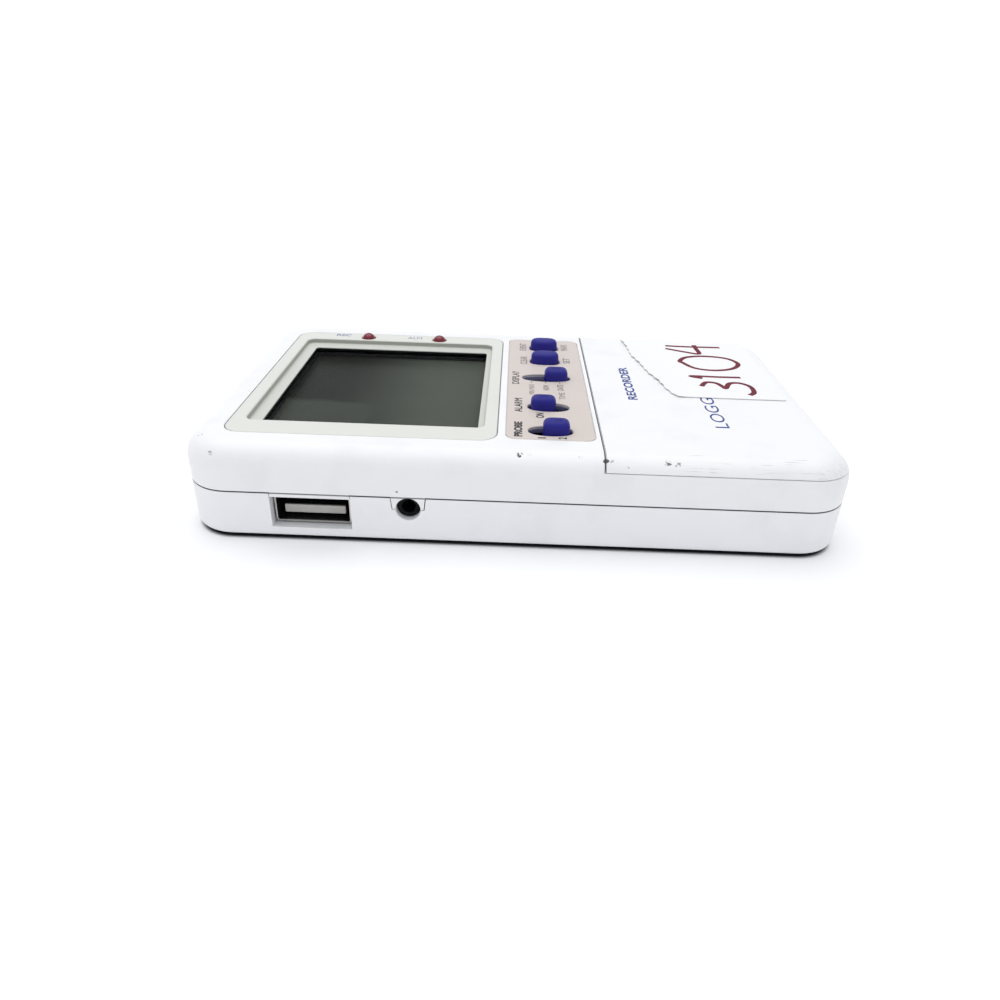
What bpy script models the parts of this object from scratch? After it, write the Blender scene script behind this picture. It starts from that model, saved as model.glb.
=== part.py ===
"""Hand-held two-probe data logger with a USB socket, as separate solids at rest.

X runs along the case towards the battery cover, Y across it away from the USB socket, and Z up from
the surface that the feet stand on. The origin is under the middle of the case.
"""

import math

import bmesh
import bpy
from mathutils import Matrix, Vector

MM = 0.001

# Case
CASE_LENGTH = 114 * MM
CASE_WIDTH = 70 * MM
CASE_TOP = 17.3 * MM
CASE_BOTTOM = 0.8 * MM
PARTING_HEIGHT = 9.15 * MM
CORNER_RADIUS = 8 * MM
TOP_ROUND = 4 * MM
BOTTOM_ROUND = 1.5 * MM
SIDE_WALL = 2 * MM
TOP_WALL = 1.8 * MM
FLOOR_WALL = 1.8 * MM
LIP_THICKNESS = 0.75 * MM
LIP_RISE = 0.9 * MM

# Clearances
SEAM_GAP = 0.15 * MM
FIT_GAP = 0.2 * MM
REST_GAP = 0.3 * MM
LABEL_GAP = 0.08 * MM
SLIDE_GAP = 0.25 * MM

# Battery cover and the deck that it slides on
COVER_THICKNESS = 1.2 * MM
COVER_SEAM_HEIGHT = 15.0 * MM
DECK_THICKNESS = 1.6 * MM
DOVETAIL_UNDERCUT = 0.4 * MM
SKIRT_THICKNESS = 2.5 * MM

# Display
BEZEL_LENGTH = 47.2 * MM
BEZEL_WIDTH = 56.8 * MM
BEZEL_END_MARGIN = 6.1 * MM
BEZEL_RADIUS = 3.2 * MM
BEZEL_FLANGE = 0.95 * MM
BEZEL_DEPTH = 1.35 * MM
LEDGE_DEPTH = 0.65 * MM
LEDGE_WIDTH = 1.2 * MM
TUB_WALL = 0.8 * MM
OPENING_MARGIN_END = 3.0 * MM
OPENING_MARGIN_KEYS = 2.5 * MM
OPENING_MARGIN_NEAR = 5.4 * MM
OPENING_MARGIN_FAR = 6.1 * MM
OPENING_RADIUS = 1.6 * MM
WINDOW_THICKNESS = 0.7 * MM
CELL_DEPTH = 2.65 * MM
DISPLAY_GLASS = 2.0 * MM
GLASS_BORDER = 0.9 * MM
HOLDER_WALL = 1.2 * MM
HOLDER_RIM_OVERLAP = 0.5 * MM
ELASTOMER_WIDTH = 2.0 * MM

# Signal lamps
LAMP_RADIUS = 1.5 * MM
LAMP_PROUD = 1.05 * MM
LAMP_FLANGE_RADIUS = 1.9 * MM
LAMP_FLANGE = 0.8 * MM
LAMP_BODY = 5.0 * MM
LAMP_HOLE_GAP = 0.15 * MM
LAMP_FAR_MARGIN = 2.6 * MM
RECORD_LAMP_FROM_END = 15.95 * MM
ALERT_LAMP_FROM_END = 32.4 * MM

# Keypad
OVERLAY_LENGTH = 15.5 * MM
OVERLAY_WIDTH = 55.4 * MM
OVERLAY_SHIFT = 0.5 * MM
OVERLAY_THICKNESS = 0.25 * MM
OVERLAY_RECESS = 0.35 * MM
OVERLAY_RADIUS = 1.8 * MM
BEZEL_TO_OVERLAY = 1.6 * MM
OVERLAY_TO_SEAM = 0.95 * MM

BUTTON_LENGTH = 6.0 * MM
BUTTON_DEPTH = 4.0 * MM
BUTTON_RADIUS = 1.7 * MM
BUTTON_PROUD = 2.1 * MM
BUTTON_FLANGE = 0.6 * MM
BUTTON_FLANGE_LIP = 0.8 * MM
BUTTON_EDGE = 0.7 * MM
EVENT_BUTTON_Y = 22.4 * MM
CLEAR_BUTTON_Y = 13.3 * MM
BUTTON_TRAVEL = 0.5 * MM

KNOB_LENGTH = 4.7 * MM
KNOB_DEPTH = 3.6 * MM
KNOB_RADIUS = 1.4 * MM
KNOB_PROUD = 2.3 * MM
KNOB_EDGE = 0.8 * MM
KNOB_END_GAP = 0.6 * MM
SKIRT_PLATE = 0.7 * MM
SKIRT_DROP = 1.6 * MM
DISPLAY_KNOB_Y = 3.1 * MM
ALARM_KNOB_Y = -12.6 * MM
PROBE_KNOB_Y = -23.5 * MM
POSITION_STEP = 2.0 * MM

# Main board and what stands on it
BOARD_THICKNESS = 1.2 * MM
BOARD_PAST_SEAM = 5.6 * MM
BOARD_RADIUS = 1.8 * MM
SWITCH_HEIGHT = 2.2 * MM
SWITCH_DEPTH = 3.6 * MM
SWITCH_END = 1.6 * MM
ACTUATOR_LENGTH = 2.0 * MM
ACTUATOR_DEPTH = 1.6 * MM
TACT_SIZE = 6.0 * MM
TACT_HEIGHT = 3.1 * MM
PLUNGER_RADIUS = 1.7 * MM
PLUNGER_INSERT = 1.2 * MM
BUZZER_RADIUS = 6.0 * MM
BUZZER_HEIGHT = 4.2 * MM
BUZZER_HOLE_RADIUS = 1.2 * MM
BUZZER_Y = 10.0 * MM
CHIP_HEIGHT = 1.4 * MM
CHIPS_Y = 4.0 * MM
CONTROLLER_SIZE = 10.0 * MM
CONTROLLER_FROM_USB = 18.0 * MM
MEMORY_LENGTH = 5.0 * MM
MEMORY_WIDTH = 6.0 * MM
MEMORY_FROM_USB = 2.0 * MM
CRYSTAL_RADIUS = 1.5 * MM
CRYSTAL_LENGTH = 8.0 * MM
CRYSTAL_FROM_USB = 8.0 * MM

# USB-A socket
USB_INSIDE_WIDTH = 12.5 * MM
USB_INSIDE_HEIGHT = 5.12 * MM
USB_SHEET = 0.31 * MM
USB_LENGTH = 14.0 * MM
USB_RECESS = 1.6 * MM
USB_FROM_END = 22.2 * MM
USB_FLOOR_GAP = 0.25 * MM
TONGUE_WIDTH = 11.1 * MM
TONGUE_THICKNESS = 1.84 * MM
TONGUE_OFFSET = 0.66 * MM
TONGUE_RECESS = 0.6 * MM
TONGUE_ROOT = 3.0 * MM
NOTCH_GAP = 0.3 * MM
TAB_THICKNESS = 1.25 * MM
TAB_OVERLAP = 1.2 * MM

# Probe jacks
JACK_FROM_END = 38.8 * MM
JACK_HEIGHT = 6.95 * MM
JACK_HOLE_RADIUS = 2.1 * MM
JACK_NOSE_GAP = 0.15 * MM
JACK_NOSE_RECESS = 1.1 * MM
JACK_BORE_RADIUS = 1.3 * MM
JACK_BODY_WIDTH = 6.4 * MM
JACK_BODY_HEIGHT = 4.9 * MM
JACK_BODY_LENGTH = 10.5 * MM
JACK_TAB_TOP_WIDTH = 5.8 * MM
JACK_TAB_WIDTH = 5.25 * MM

# Battery bay
CELL_RADIUS = 5.25 * MM
CELL_LENGTH = 44.5 * MM
CELL_NUB_RADIUS = 1.9 * MM
CELL_NUB = 1.0 * MM
CELL_SPACING_GAP = 0.3 * MM
BAY_SIDE_GAP = 0.4 * MM
BAY_WALL = 1.2 * MM
SPRING_SPACE = 4.0 * MM
SPRING_RADIUS = 3.0 * MM
SPRING_SMALL_RADIUS = 1.8 * MM
SPRING_WIRE = 0.25 * MM
SPRING_TURNS = 3
PLATE_THICKNESS = 0.4 * MM
PLATE_WIDTH = 8.0 * MM
PLATE_HEIGHT = 8.0 * MM
SOLDER_TAB_WIDTH = 2.4 * MM
SOLDER_TAB_PROUD = 1.0 * MM
SOLDER_TAB_RISE = 0.7 * MM
BATTERY_WIRE_RADIUS = 0.45 * MM
WIRE_SPACING = 1.6 * MM
WIRE_BEND = 2.0 * MM
WIRE_BOW = 1.2 * MM
WIRE_CORNER = 1.5 * MM
WIRE_APPROACH = 4.0 * MM
PAD_SPACING = 2.25 * MM
PAD_FROM_EDGE = 3.0 * MM
PADS_Y = -13.0 * MM

# Fasteners and feet
CASE_SCREW_INSET = 7.0 * MM
SCREW_SHANK_RADIUS = 1.2 * MM
SCREW_HEAD_RADIUS = 2.4 * MM
SCREW_HEAD_HEIGHT = 1.3 * MM
SCREW_LENGTH = 9.5 * MM
SCREW_SLOT_WIDTH = 0.8 * MM
SCREW_SLOT_DEPTH = 0.6 * MM
SCREW_SLOT_LENGTH = 3.6 * MM
PILOT_GAP = 0.2 * MM
CLEARANCE_HOLE_GAP = 0.4 * MM
COUNTERBORE_GAP = 0.4 * MM
COUNTERBORE_DEPTH = 2.2 * MM
BOSS_WALL = 1.5 * MM
PILLAR_WALL = 0.8 * MM
BOSS_JOINT_HEIGHT = 5.5 * MM
BOSS_OVERLAP = 0.6 * MM
BOARD_SCREW_RADIUS = 0.9 * MM
BOARD_SCREW_HEAD_RADIUS = 1.9 * MM
BOARD_SCREW_HEAD_HEIGHT = 1.0 * MM
BOARD_SCREW_LENGTH = 4.0 * MM
BOARD_SLOT_LENGTH = 2.8 * MM
BOARD_SLOT_WIDTH = 0.56 * MM
BOARD_SLOT_DEPTH = 0.42 * MM
BOARD_SCREW_Y = 25.5 * MM
BOARD_SCREW_FROM_EDGE = 2.8 * MM
FOOT_RADIUS = 3.4 * MM
FOOT_SUNK = 0.4 * MM
FOOT_RECESS = 0.6 * MM
FOOT_FROM_SCREW = 7.2 * MM

# Paper label on the cover
PAPER_THICKNESS = 0.12 * MM
PAPER_FROM_EDGE = 4.4 * MM
PAPER_NEAR_Y = -5.2 * MM
PAPER_NEAR_FROM_SEAM = 16.8 * MM
PAPER_BEND_Y = 13.3 * MM
PAPER_BEND_FROM_SEAM = 12.1 * MM
PAPER_FAR_FROM_SEAM = 9.7 * MM

# Facets
CORNER_STEPS = 6
SMALL_STEPS = 3
ROUND_STEPS = 4
ROUND_SIDES = 20
SMALL_SIDES = 12
HIDDEN_STEPS = 2
CHAMFER_STEPS = 1
WIRE_STEPS = 4
WIRE_RESOLUTION = 1
OVERSHOOT = 1.0 * MM
SAME_PLACE = 1e-4 * MM
SMOOTH_ANGLE = math.radians(40)

# Places that follow from the sizes above
LEFT_END = -CASE_LENGTH / 2
RIGHT_END = CASE_LENGTH / 2
NEAR_SIDE = -CASE_WIDTH / 2
FAR_SIDE = CASE_WIDTH / 2
BEZEL_LEFT = LEFT_END + BEZEL_END_MARGIN
BEZEL_RIGHT = BEZEL_LEFT + BEZEL_LENGTH
OVERLAY_LEFT = BEZEL_RIGHT + BEZEL_TO_OVERLAY
OVERLAY_RIGHT = OVERLAY_LEFT + OVERLAY_LENGTH
KEYS_X = (OVERLAY_LEFT + OVERLAY_RIGHT) / 2
SEAM_X = OVERLAY_RIGHT + OVERLAY_TO_SEAM
TOP_UNDERSIDE = CASE_TOP - TOP_WALL
FLOOR_TOP = CASE_BOTTOM + FLOOR_WALL
DECK_TOP = CASE_TOP - COVER_THICKNESS - REST_GAP
DECK_UNDERSIDE = DECK_TOP - DECK_THICKNESS
LIP_OFFSET = SIDE_WALL + SEAM_GAP
LIP_INNER = LIP_OFFSET + LIP_THICKNESS
USB_OUTSIDE_HEIGHT = USB_INSIDE_HEIGHT + 2 * USB_SHEET
USB_OUTSIDE_WIDTH = USB_INSIDE_WIDTH + 2 * USB_SHEET
USB_X = LEFT_END + USB_FROM_END
USB_BOTTOM = FLOOR_TOP + USB_FLOOR_GAP
USB_TOP = USB_BOTTOM + USB_OUTSIDE_HEIGHT
USB_FRONT = NEAR_SIDE + USB_RECESS
JACK_X = LEFT_END + JACK_FROM_END
BOARD_BOTTOM = USB_TOP + FIT_GAP
BOARD_TOP = BOARD_BOTTOM + BOARD_THICKNESS
BOARD_EDGE = LIP_INNER + REST_GAP
BOARD_RIGHT = SEAM_X + BOARD_PAST_SEAM
STANDING = BOARD_TOP + REST_GAP
SKIRT_TOP = TOP_UNDERSIDE - SKIRT_DROP
SKIRT_BOTTOM = SKIRT_TOP - SKIRT_PLATE
BAY_X = (SEAM_X + RIGHT_END - SKIRT_THICKNESS) / 2
CELL_OFFSET = CELL_RADIUS + CELL_SPACING_GAP / 2
CELL_HEIGHT = DECK_TOP - CELL_RADIUS
BAY_HALF_LENGTH = CELL_OFFSET + CELL_RADIUS + BAY_SIDE_GAP
BAY_FLOOR_TOP = CELL_HEIGHT - CELL_RADIUS - FIT_GAP
BAY_BOTTOM = BAY_FLOOR_TOP - BAY_WALL
PLATE_FACE = (CELL_LENGTH + SPRING_SPACE) / 2
BAY_HALF_WIDTH = PLATE_FACE + PLATE_THICKNESS + FIT_GAP
LAMP_Y = BEZEL_WIDTH / 2 - LAMP_FAR_MARGIN


class Finish:
    """A colour, roughness and metallic value, as one material for each object that wears it."""

    def __init__(self, colour, roughness, metallic=0.0):
        self.colour = colour
        self.roughness = roughness
        self.metallic = metallic

    def dress(self, obj):
        material = bpy.data.materials.new(f"{obj.name}_finish")
        material.use_nodes = True
        shader = material.node_tree.nodes["Principled BSDF"]
        shader.inputs["Base Color"].default_value = (*self.colour, 1.0)
        shader.inputs["Roughness"].default_value = self.roughness
        shader.inputs["Metallic"].default_value = self.metallic
        obj.data.materials.append(material)


WHITE_ABS = Finish((0.86, 0.86, 0.88), 0.45)
GREY_GREEN = Finish((0.66, 0.70, 0.67), 0.4)
CLEAR = Finish((0.9, 0.92, 0.92), 0.05)
DISPLAY_GREY = Finish((0.07, 0.08, 0.07), 0.12)
BLACK_PLASTIC = Finish((0.015, 0.015, 0.017), 0.3)
CONDUCTIVE_RUBBER = Finish((0.25, 0.12, 0.12), 0.8)
OVERLAY_BEIGE = Finish((0.68, 0.60, 0.57), 0.5)
KEY_BLUE = Finish((0.03, 0.025, 0.30), 0.4)
LAMP_RED = Finish((0.35, 0.01, 0.03), 0.15)
BOARD_GREEN = Finish((0.02, 0.16, 0.07), 0.35)
CHIP_BLACK = Finish((0.02, 0.02, 0.02), 0.55)
STEEL = Finish((0.6, 0.6, 0.62), 0.3, 1.0)
TONGUE_BEIGE = Finish((0.55, 0.53, 0.50), 0.5)
CELL_SLEEVE = Finish((0.04, 0.16, 0.10), 0.3)
WIRE_RED = Finish((0.45, 0.02, 0.02), 0.45)
FOOT_RUBBER = Finish((0.05, 0.05, 0.055), 0.85)
PAPER = Finish((0.86, 0.86, 0.85), 0.8)


def clear_scene():
    for obj in list(bpy.data.objects):
        bpy.data.objects.remove(obj, do_unlink=True)


def add_object(name, mesh_or_curve, place=(0, 0, 0)):
    obj = bpy.data.objects.new(name, mesh_or_curve)
    obj.location = place
    bpy.context.scene.collection.objects.link(obj)
    return obj


def mesh_object(name, bm, place=(0, 0, 0), smooth=False):
    """The bmesh as an object whose origin is at place; its points are given in the scene."""
    bmesh.ops.recalc_face_normals(bm, faces=bm.faces)
    bmesh.ops.translate(bm, vec=-Vector(place), verts=bm.verts)
    mesh = bpy.data.meshes.new(name)
    bm.to_mesh(mesh)
    bm.free()
    if smooth:
        mesh.shade_smooth()
        mesh.set_sharp_from_angle(angle=SMOOTH_ANGLE)
    return add_object(name, mesh, place)


def as_cutter(obj):
    obj.hide_render = True
    obj.display_type = "WIRE"
    return obj


def combine(obj, other, operation):
    """Joins other to obj, or cuts it away, and keeps other as a wire helper."""
    modifier = obj.modifiers.new(f"{operation.lower()}_{other.name}", "BOOLEAN")
    modifier.operation = operation
    modifier.solver = "EXACT"
    modifier.object = as_cutter(other)
    return obj


def cut(obj, *others):
    for other in others:
        combine(obj, other, "DIFFERENCE")
    return obj


def join(obj, *others):
    for other in others:
        combine(obj, other, "UNION")
    return obj


def rounded_outline(left, right, near, far, radius, steps=CORNER_STEPS):
    """Corner points of a rectangle with round corners, counter-clockwise."""
    radius = min(radius, (right - left) / 2, (far - near) / 2)
    centres = (
        (right - radius, far - radius, 0.0),
        (left + radius, far - radius, 90.0),
        (left + radius, near + radius, 180.0),
        (right - radius, near + radius, 270.0),
    )
    points = []
    for x, y, start in centres:
        for step in range(steps + 1):
            angle = math.radians(start + 90.0 * step / steps)
            point = (x + radius * math.cos(angle), y + radius * math.sin(angle))
            if not points or math.dist(point, points[-1]) > SAME_PLACE:
                points.append(point)
    if math.dist(points[0], points[-1]) < SAME_PLACE:
        points.pop()
    return points


def case_outline(inset, steps=CORNER_STEPS):
    return rounded_outline(
        LEFT_END + inset,
        RIGHT_END - inset,
        NEAR_SIDE + inset,
        FAR_SIDE - inset,
        CORNER_RADIUS - inset,
        steps,
    )


def centred_outline(x, y, length, width, radius, steps=SMALL_STEPS):
    return rounded_outline(
        x - length / 2, x + length / 2, y - width / 2, y + width / 2, radius, steps
    )


def bevel_level(bm, height, radius, segments):
    """Rounds the edges that lie wholly at this height."""
    edges = [
        e for e in bm.edges if all(abs(v.co.z - height) < SAME_PLACE for v in e.verts)
    ]
    bmesh.ops.bevel(
        bm,
        geom=edges,
        offset=radius,
        segments=segments,
        profile=0.5,
        affect="EDGES",
        clamp_overlap=False,
    )


def prism(name, outline, low, high, place=(0, 0, 0), **rounds):
    """An upright solid with this outline. rounds may hold top and bottom radii and segments."""
    bm = bmesh.new()
    face = bm.faces.new([bm.verts.new((x, y, low)) for x, y in outline])
    grown = bmesh.ops.extrude_face_region(bm, geom=[face])["geom"]
    raised = [v for v in grown if isinstance(v, bmesh.types.BMVert)]
    bmesh.ops.translate(bm, vec=(0, 0, high - low), verts=raised)
    segments = rounds.get("segments", ROUND_STEPS)
    if rounds.get("top"):
        bevel_level(bm, high, rounds["top"], segments)
    if rounds.get("bottom"):
        bevel_level(bm, low, rounds["bottom"], segments)
    return mesh_object(name, bm, place, smooth=bool(rounds))


def block(name, left, right, near, far, low, high, place=(0, 0, 0)):
    corners = [(left, near), (right, near), (right, far), (left, far)]
    return prism(name, corners, low, high, place)


def tapered(name, low_outline, high_outline, low, high):
    """A solid between two outlines with the same number of points."""
    bm = bmesh.new()
    rings = []
    for outline, height in ((low_outline, low), (high_outline, high)):
        verts = [bm.verts.new((x, y, height)) for x, y in outline]
        rings.append([bm.edges.new((a, b)) for a, b in zip(verts, verts[1:] + verts[:1])])
    bmesh.ops.bridge_loops(bm, edges=rings[0] + rings[1])
    for ring in rings:
        bmesh.ops.contextual_create(bm, geom=ring)
    return mesh_object(name, bm)


def rod(name, start, end, radius, sides=ROUND_SIDES, place=(0, 0, 0)):
    """A straight round bar from start to end."""
    start, end = Vector(start), Vector(end)
    run = end - start
    turn = Vector((0, 0, 1)).rotation_difference(run.normalized()).to_matrix().to_4x4()
    bm = bmesh.new()
    bmesh.ops.create_cone(
        bm,
        cap_ends=True,
        segments=sides,
        radius1=radius,
        radius2=radius,
        depth=run.length,
        matrix=Matrix.Translation((start + end) / 2) @ turn,
    )
    return mesh_object(name, bm, place, smooth=True)


def turned(name, profile, centre, axis=(0, 0, 1), sides=ROUND_SIDES):
    """A turned solid. The profile's (radius, height) points run from the axis back to the axis."""
    bm = bmesh.new()
    verts = [bm.verts.new((r, 0, h)) for r, h in profile]
    edges = [bm.edges.new(pair) for pair in zip(verts, verts[1:])]
    bmesh.ops.spin(
        bm,
        geom=verts + edges,
        cent=(0, 0, 0),
        axis=(0, 0, 1),
        angle=math.tau,
        steps=sides,
        use_merge=True,
    )
    bmesh.ops.remove_doubles(bm, verts=bm.verts, dist=SAME_PLACE)
    turn = Vector((0, 0, 1)).rotation_difference(Vector(axis)).to_matrix().to_4x4()
    bmesh.ops.transform(bm, matrix=Matrix.Translation(centre) @ turn, verts=bm.verts)
    return mesh_object(name, bm, centre, smooth=True)


def arc(radius, start, end, steps, centre=(0.0, 0.0)):
    """Points of an arc in the profile's plane, angles in degrees from the radius direction."""
    angles = [math.radians(start + (end - start) * i / steps) for i in range(steps + 1)]
    return [
        (centre[0] + radius * math.cos(a), centre[1] + radius * math.sin(a))
        for a in angles
    ]


def wire(name, points, radius, resolution):
    """A round wire through these points, with closed ends."""
    curve = bpy.data.curves.new(name, "CURVE")
    curve.dimensions = "3D"
    spline = curve.splines.new("POLY")
    spline.points.add(len(points) - 1)
    for held, point in zip(spline.points, points):
        held.co = (*point, 1.0)
    curve.bevel_depth = radius
    curve.bevel_resolution = resolution
    curve.use_fill_caps = True
    return add_object(name, curve)


def smooth_path(knots, steps):
    """Points of a smooth curve that passes through every knot."""
    knots = [Vector(k) for k in knots]
    ends = [2 * knots[0] - knots[1], *knots, 2 * knots[-1] - knots[-2]]
    points = []
    for a, b, c, d in zip(ends, ends[1:], ends[2:], ends[3:]):
        for step in range(steps):
            t = step / steps
            points.append(
                0.5
                * (
                    2 * b
                    + (c - a) * t
                    + (2 * a - 5 * b + 4 * c - d) * t**2
                    + (3 * b - a - 3 * c + d) * t**3
                )
            )
    return [*points, knots[-1]]


# What several pieces share


def bezel_opening(grow):
    """The display opening at the bezel's top, grown outwards."""
    return rounded_outline(
        BEZEL_LEFT + OPENING_MARGIN_END - grow,
        BEZEL_RIGHT - OPENING_MARGIN_KEYS + grow,
        -BEZEL_WIDTH / 2 + OPENING_MARGIN_NEAR - grow,
        BEZEL_WIDTH / 2 - OPENING_MARGIN_FAR + grow,
        OPENING_RADIUS + max(grow, -OPENING_RADIUS / 2),
        SMALL_STEPS,
    )


def deck_outline(grow):
    """The deck under the cover; its left corners are rounded inside the top wall, clear of the seam."""
    inset = SKIRT_THICKNESS - grow
    return rounded_outline(
        SEAM_X - CORNER_RADIUS,
        RIGHT_END - inset,
        NEAR_SIDE + inset,
        FAR_SIDE - inset,
        CORNER_RADIUS - inset,
    )


def slot_length(positions):
    return KNOB_LENGTH + 2 * KNOB_END_GAP + (positions - 1) * POSITION_STEP


def slot_outline(y, positions, grow=0.0):
    width = KNOB_DEPTH + 2 * FIT_GAP + 2 * grow
    return centred_outline(
        KEYS_X, y, slot_length(positions) + 2 * grow, width, width / 2, CORNER_STEPS
    )


def button_outline(y, grow):
    return centred_outline(
        KEYS_X,
        y,
        BUTTON_LENGTH + 2 * grow,
        BUTTON_DEPTH + 2 * grow,
        BUTTON_RADIUS + grow,
        CORNER_STEPS,
    )


BUTTONS = (("event", EVENT_BUTTON_Y), ("clear", CLEAR_BUTTON_Y))
SLIDERS = (
    ("display", DISPLAY_KNOB_Y, 3, 1),
    ("alarm", ALARM_KNOB_Y, 2, -1),
    ("probe", PROBE_KNOB_Y, 2, 1),
)
LAMPS = (
    ("record", LEFT_END + BEZEL_END_MARGIN + RECORD_LAMP_FROM_END),
    ("alert", LEFT_END + BEZEL_END_MARGIN + ALERT_LAMP_FROM_END),
)


def knob_x(positions, side):
    """Where a knob rests: side is 1 for its right-hand stop and -1 for its left-hand one."""
    return KEYS_X + side * (positions - 1) * POSITION_STEP / 2


def screw_places():
    inset_x = RIGHT_END - CASE_SCREW_INSET
    inset_y = FAR_SIDE - CASE_SCREW_INSET
    return [(x, y) for x in (-inset_x, inset_x) for y in (-inset_y, inset_y)]


def board_screw_places():
    x = BOARD_RIGHT - BOARD_SCREW_FROM_EDGE
    return [(x, -BOARD_SCREW_Y), (x, BOARD_SCREW_Y)]


def jack_hole(name, side):
    """A round cutter along Y through the wall on this side."""
    inside = FAR_SIDE - LIP_INNER - OVERSHOOT
    outside = FAR_SIDE + OVERSHOOT
    start = (JACK_X, side * inside, JACK_HEIGHT)
    end = (JACK_X, side * outside, JACK_HEIGHT)
    return rod(name, start, end, JACK_HOLE_RADIUS)


def jack_tab(name, side, grow, top, depth, proud):
    """The trapezoid over a jack's upper half, as a solid across the wall on this side."""
    half_top = JACK_TAB_TOP_WIDTH / 2 + grow
    half_low = JACK_TAB_WIDTH / 2 + grow
    corners = (
        (JACK_X - half_low, JACK_HEIGHT - grow),
        (JACK_X + half_low, JACK_HEIGHT - grow),
        (JACK_X + half_top, PARTING_HEIGHT),
        (JACK_X + half_top, top),
        (JACK_X - half_top, top),
        (JACK_X - half_top, PARTING_HEIGHT),
    )
    outer = side * (FAR_SIDE + proud)
    bm = bmesh.new()
    face = bm.faces.new([bm.verts.new((x, outer, z)) for x, z in corners])
    grown = bmesh.ops.extrude_face_region(bm, geom=[face])["geom"]
    moved = [v for v in grown if isinstance(v, bmesh.types.BMVert)]
    bmesh.ops.translate(bm, vec=(0, -side * (depth + proud), 0), verts=moved)
    return mesh_object(name, bm)


# Case


def top_case():
    parting = PARTING_HEIGHT + SEAM_GAP / 2
    case = prism("top_case", case_outline(0), parting, CASE_TOP, top=TOP_ROUND)
    far = CASE_WIDTH
    cut(
        case,
        block(
            "cover_space",
            SEAM_X,
            RIGHT_END + OVERSHOOT,
            -far,
            far,
            COVER_SEAM_HEIGHT - SEAM_GAP / 2,
            CASE_TOP + OVERSHOOT,
        ),
    )
    deck_low = COVER_SEAM_HEIGHT - SEAM_GAP / 2 - DECK_THICKNESS / 2
    dovetail_low = COVER_SEAM_HEIGHT - SEAM_GAP / 2
    slope = DOVETAIL_UNDERCUT / (DECK_TOP - dovetail_low)
    foot_grow = -slope * (DECK_TOP - deck_low)
    deck = tapered(
        "deck", deck_outline(foot_grow), deck_outline(0), deck_low, DECK_TOP
    )
    join(case, deck)
    cut(
        case,
        prism(
            "inner_space",
            case_outline(SIDE_WALL),
            parting - OVERSHOOT,
            DECK_UNDERSIDE,
        ),
        prism(
            "display_end_space",
            rounded_outline(
                LEFT_END + SIDE_WALL,
                SEAM_X - SIDE_WALL,
                NEAR_SIDE + SIDE_WALL,
                FAR_SIDE - SIDE_WALL,
                SIDE_WALL,
                SMALL_STEPS,
            ),
            DECK_UNDERSIDE - OVERSHOOT,
            TOP_UNDERSIDE,
            top=SIDE_WALL / 2,
            segments=HIDDEN_STEPS,
        ),
    )
    bay_outer = (
        BAY_X - BAY_HALF_LENGTH - BAY_WALL,
        BAY_X + BAY_HALF_LENGTH + BAY_WALL,
        -BAY_HALF_WIDTH - BAY_WALL,
        BAY_HALF_WIDTH + BAY_WALL,
    )
    deck_middle = (DECK_TOP + DECK_UNDERSIDE) / 2
    join(case, block("bay_walls", *bay_outer, BAY_BOTTOM, deck_middle))
    for number, (x, y) in enumerate(screw_places(), 1):
        radius = SCREW_SHANK_RADIUS + PILOT_GAP + BOSS_WALL
        roof = deck_middle if x > 0 else TOP_UNDERSIDE + BOSS_OVERLAP
        start = (x, y, BOSS_JOINT_HEIGHT + FIT_GAP)
        join(case, rod(f"screw_boss_{number}", start, (x, y, roof), radius))
    for number, (x, y) in enumerate(board_screw_places(), 1):
        radius = BOARD_SCREW_RADIUS + PILOT_GAP + BOSS_WALL
        start = (x, y, BOARD_TOP + FIT_GAP)
        join(case, rod(f"board_boss_{number}", start, (x, y, deck_middle), radius))
    bay_inner = (
        BAY_X - BAY_HALF_LENGTH,
        BAY_X + BAY_HALF_LENGTH,
        -BAY_HALF_WIDTH,
        BAY_HALF_WIDTH,
    )
    cut(case, block("bay_space", *bay_inner, BAY_FLOOR_TOP, DECK_TOP + OVERSHOOT))
    for number, (x, y) in enumerate(screw_places(), 1):
        radius = SCREW_SHANK_RADIUS + PILOT_GAP
        top = COUNTERBORE_DEPTH + SCREW_LENGTH + 2 * FIT_GAP
        cut(case, rod(f"pilot_{number}", (x, y, 0), (x, y, top), radius, SMALL_SIDES))
    for number, (x, y) in enumerate(board_screw_places(), 1):
        radius = BOARD_SCREW_RADIUS + PILOT_GAP
        top = BOARD_BOTTOM + BOARD_SCREW_LENGTH + FIT_GAP
        start = (x, y, BOARD_BOTTOM)
        cut(case, rod(f"board_pilot_{number}", start, (x, y, top), radius, SMALL_SIDES))
    for number, x in enumerate(tab_slot_places(), 1):
        half = SOLDER_TAB_WIDTH / 2 + FIT_GAP
        cut(
            case,
            block(
                f"solder_tab_slot_{number}",
                x - half,
                x + half,
                -BAY_HALF_WIDTH - BAY_WALL - OVERSHOOT,
                -BAY_HALF_WIDTH + OVERSHOOT / 2,
                BAY_FLOOR_TOP + SOLDER_TAB_RISE - FIT_GAP,
                BAY_FLOOR_TOP + SOLDER_TAB_RISE + PLATE_THICKNESS + FIT_GAP,
            ),
        )
    cut_top_openings(case)
    add_side_tabs(case)
    WHITE_ABS.dress(case)


def tab_slot_places():
    """Where the two solder tabs pass the bay's near wall."""
    return BAY_X - CELL_OFFSET, BAY_X + CELL_OFFSET


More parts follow.
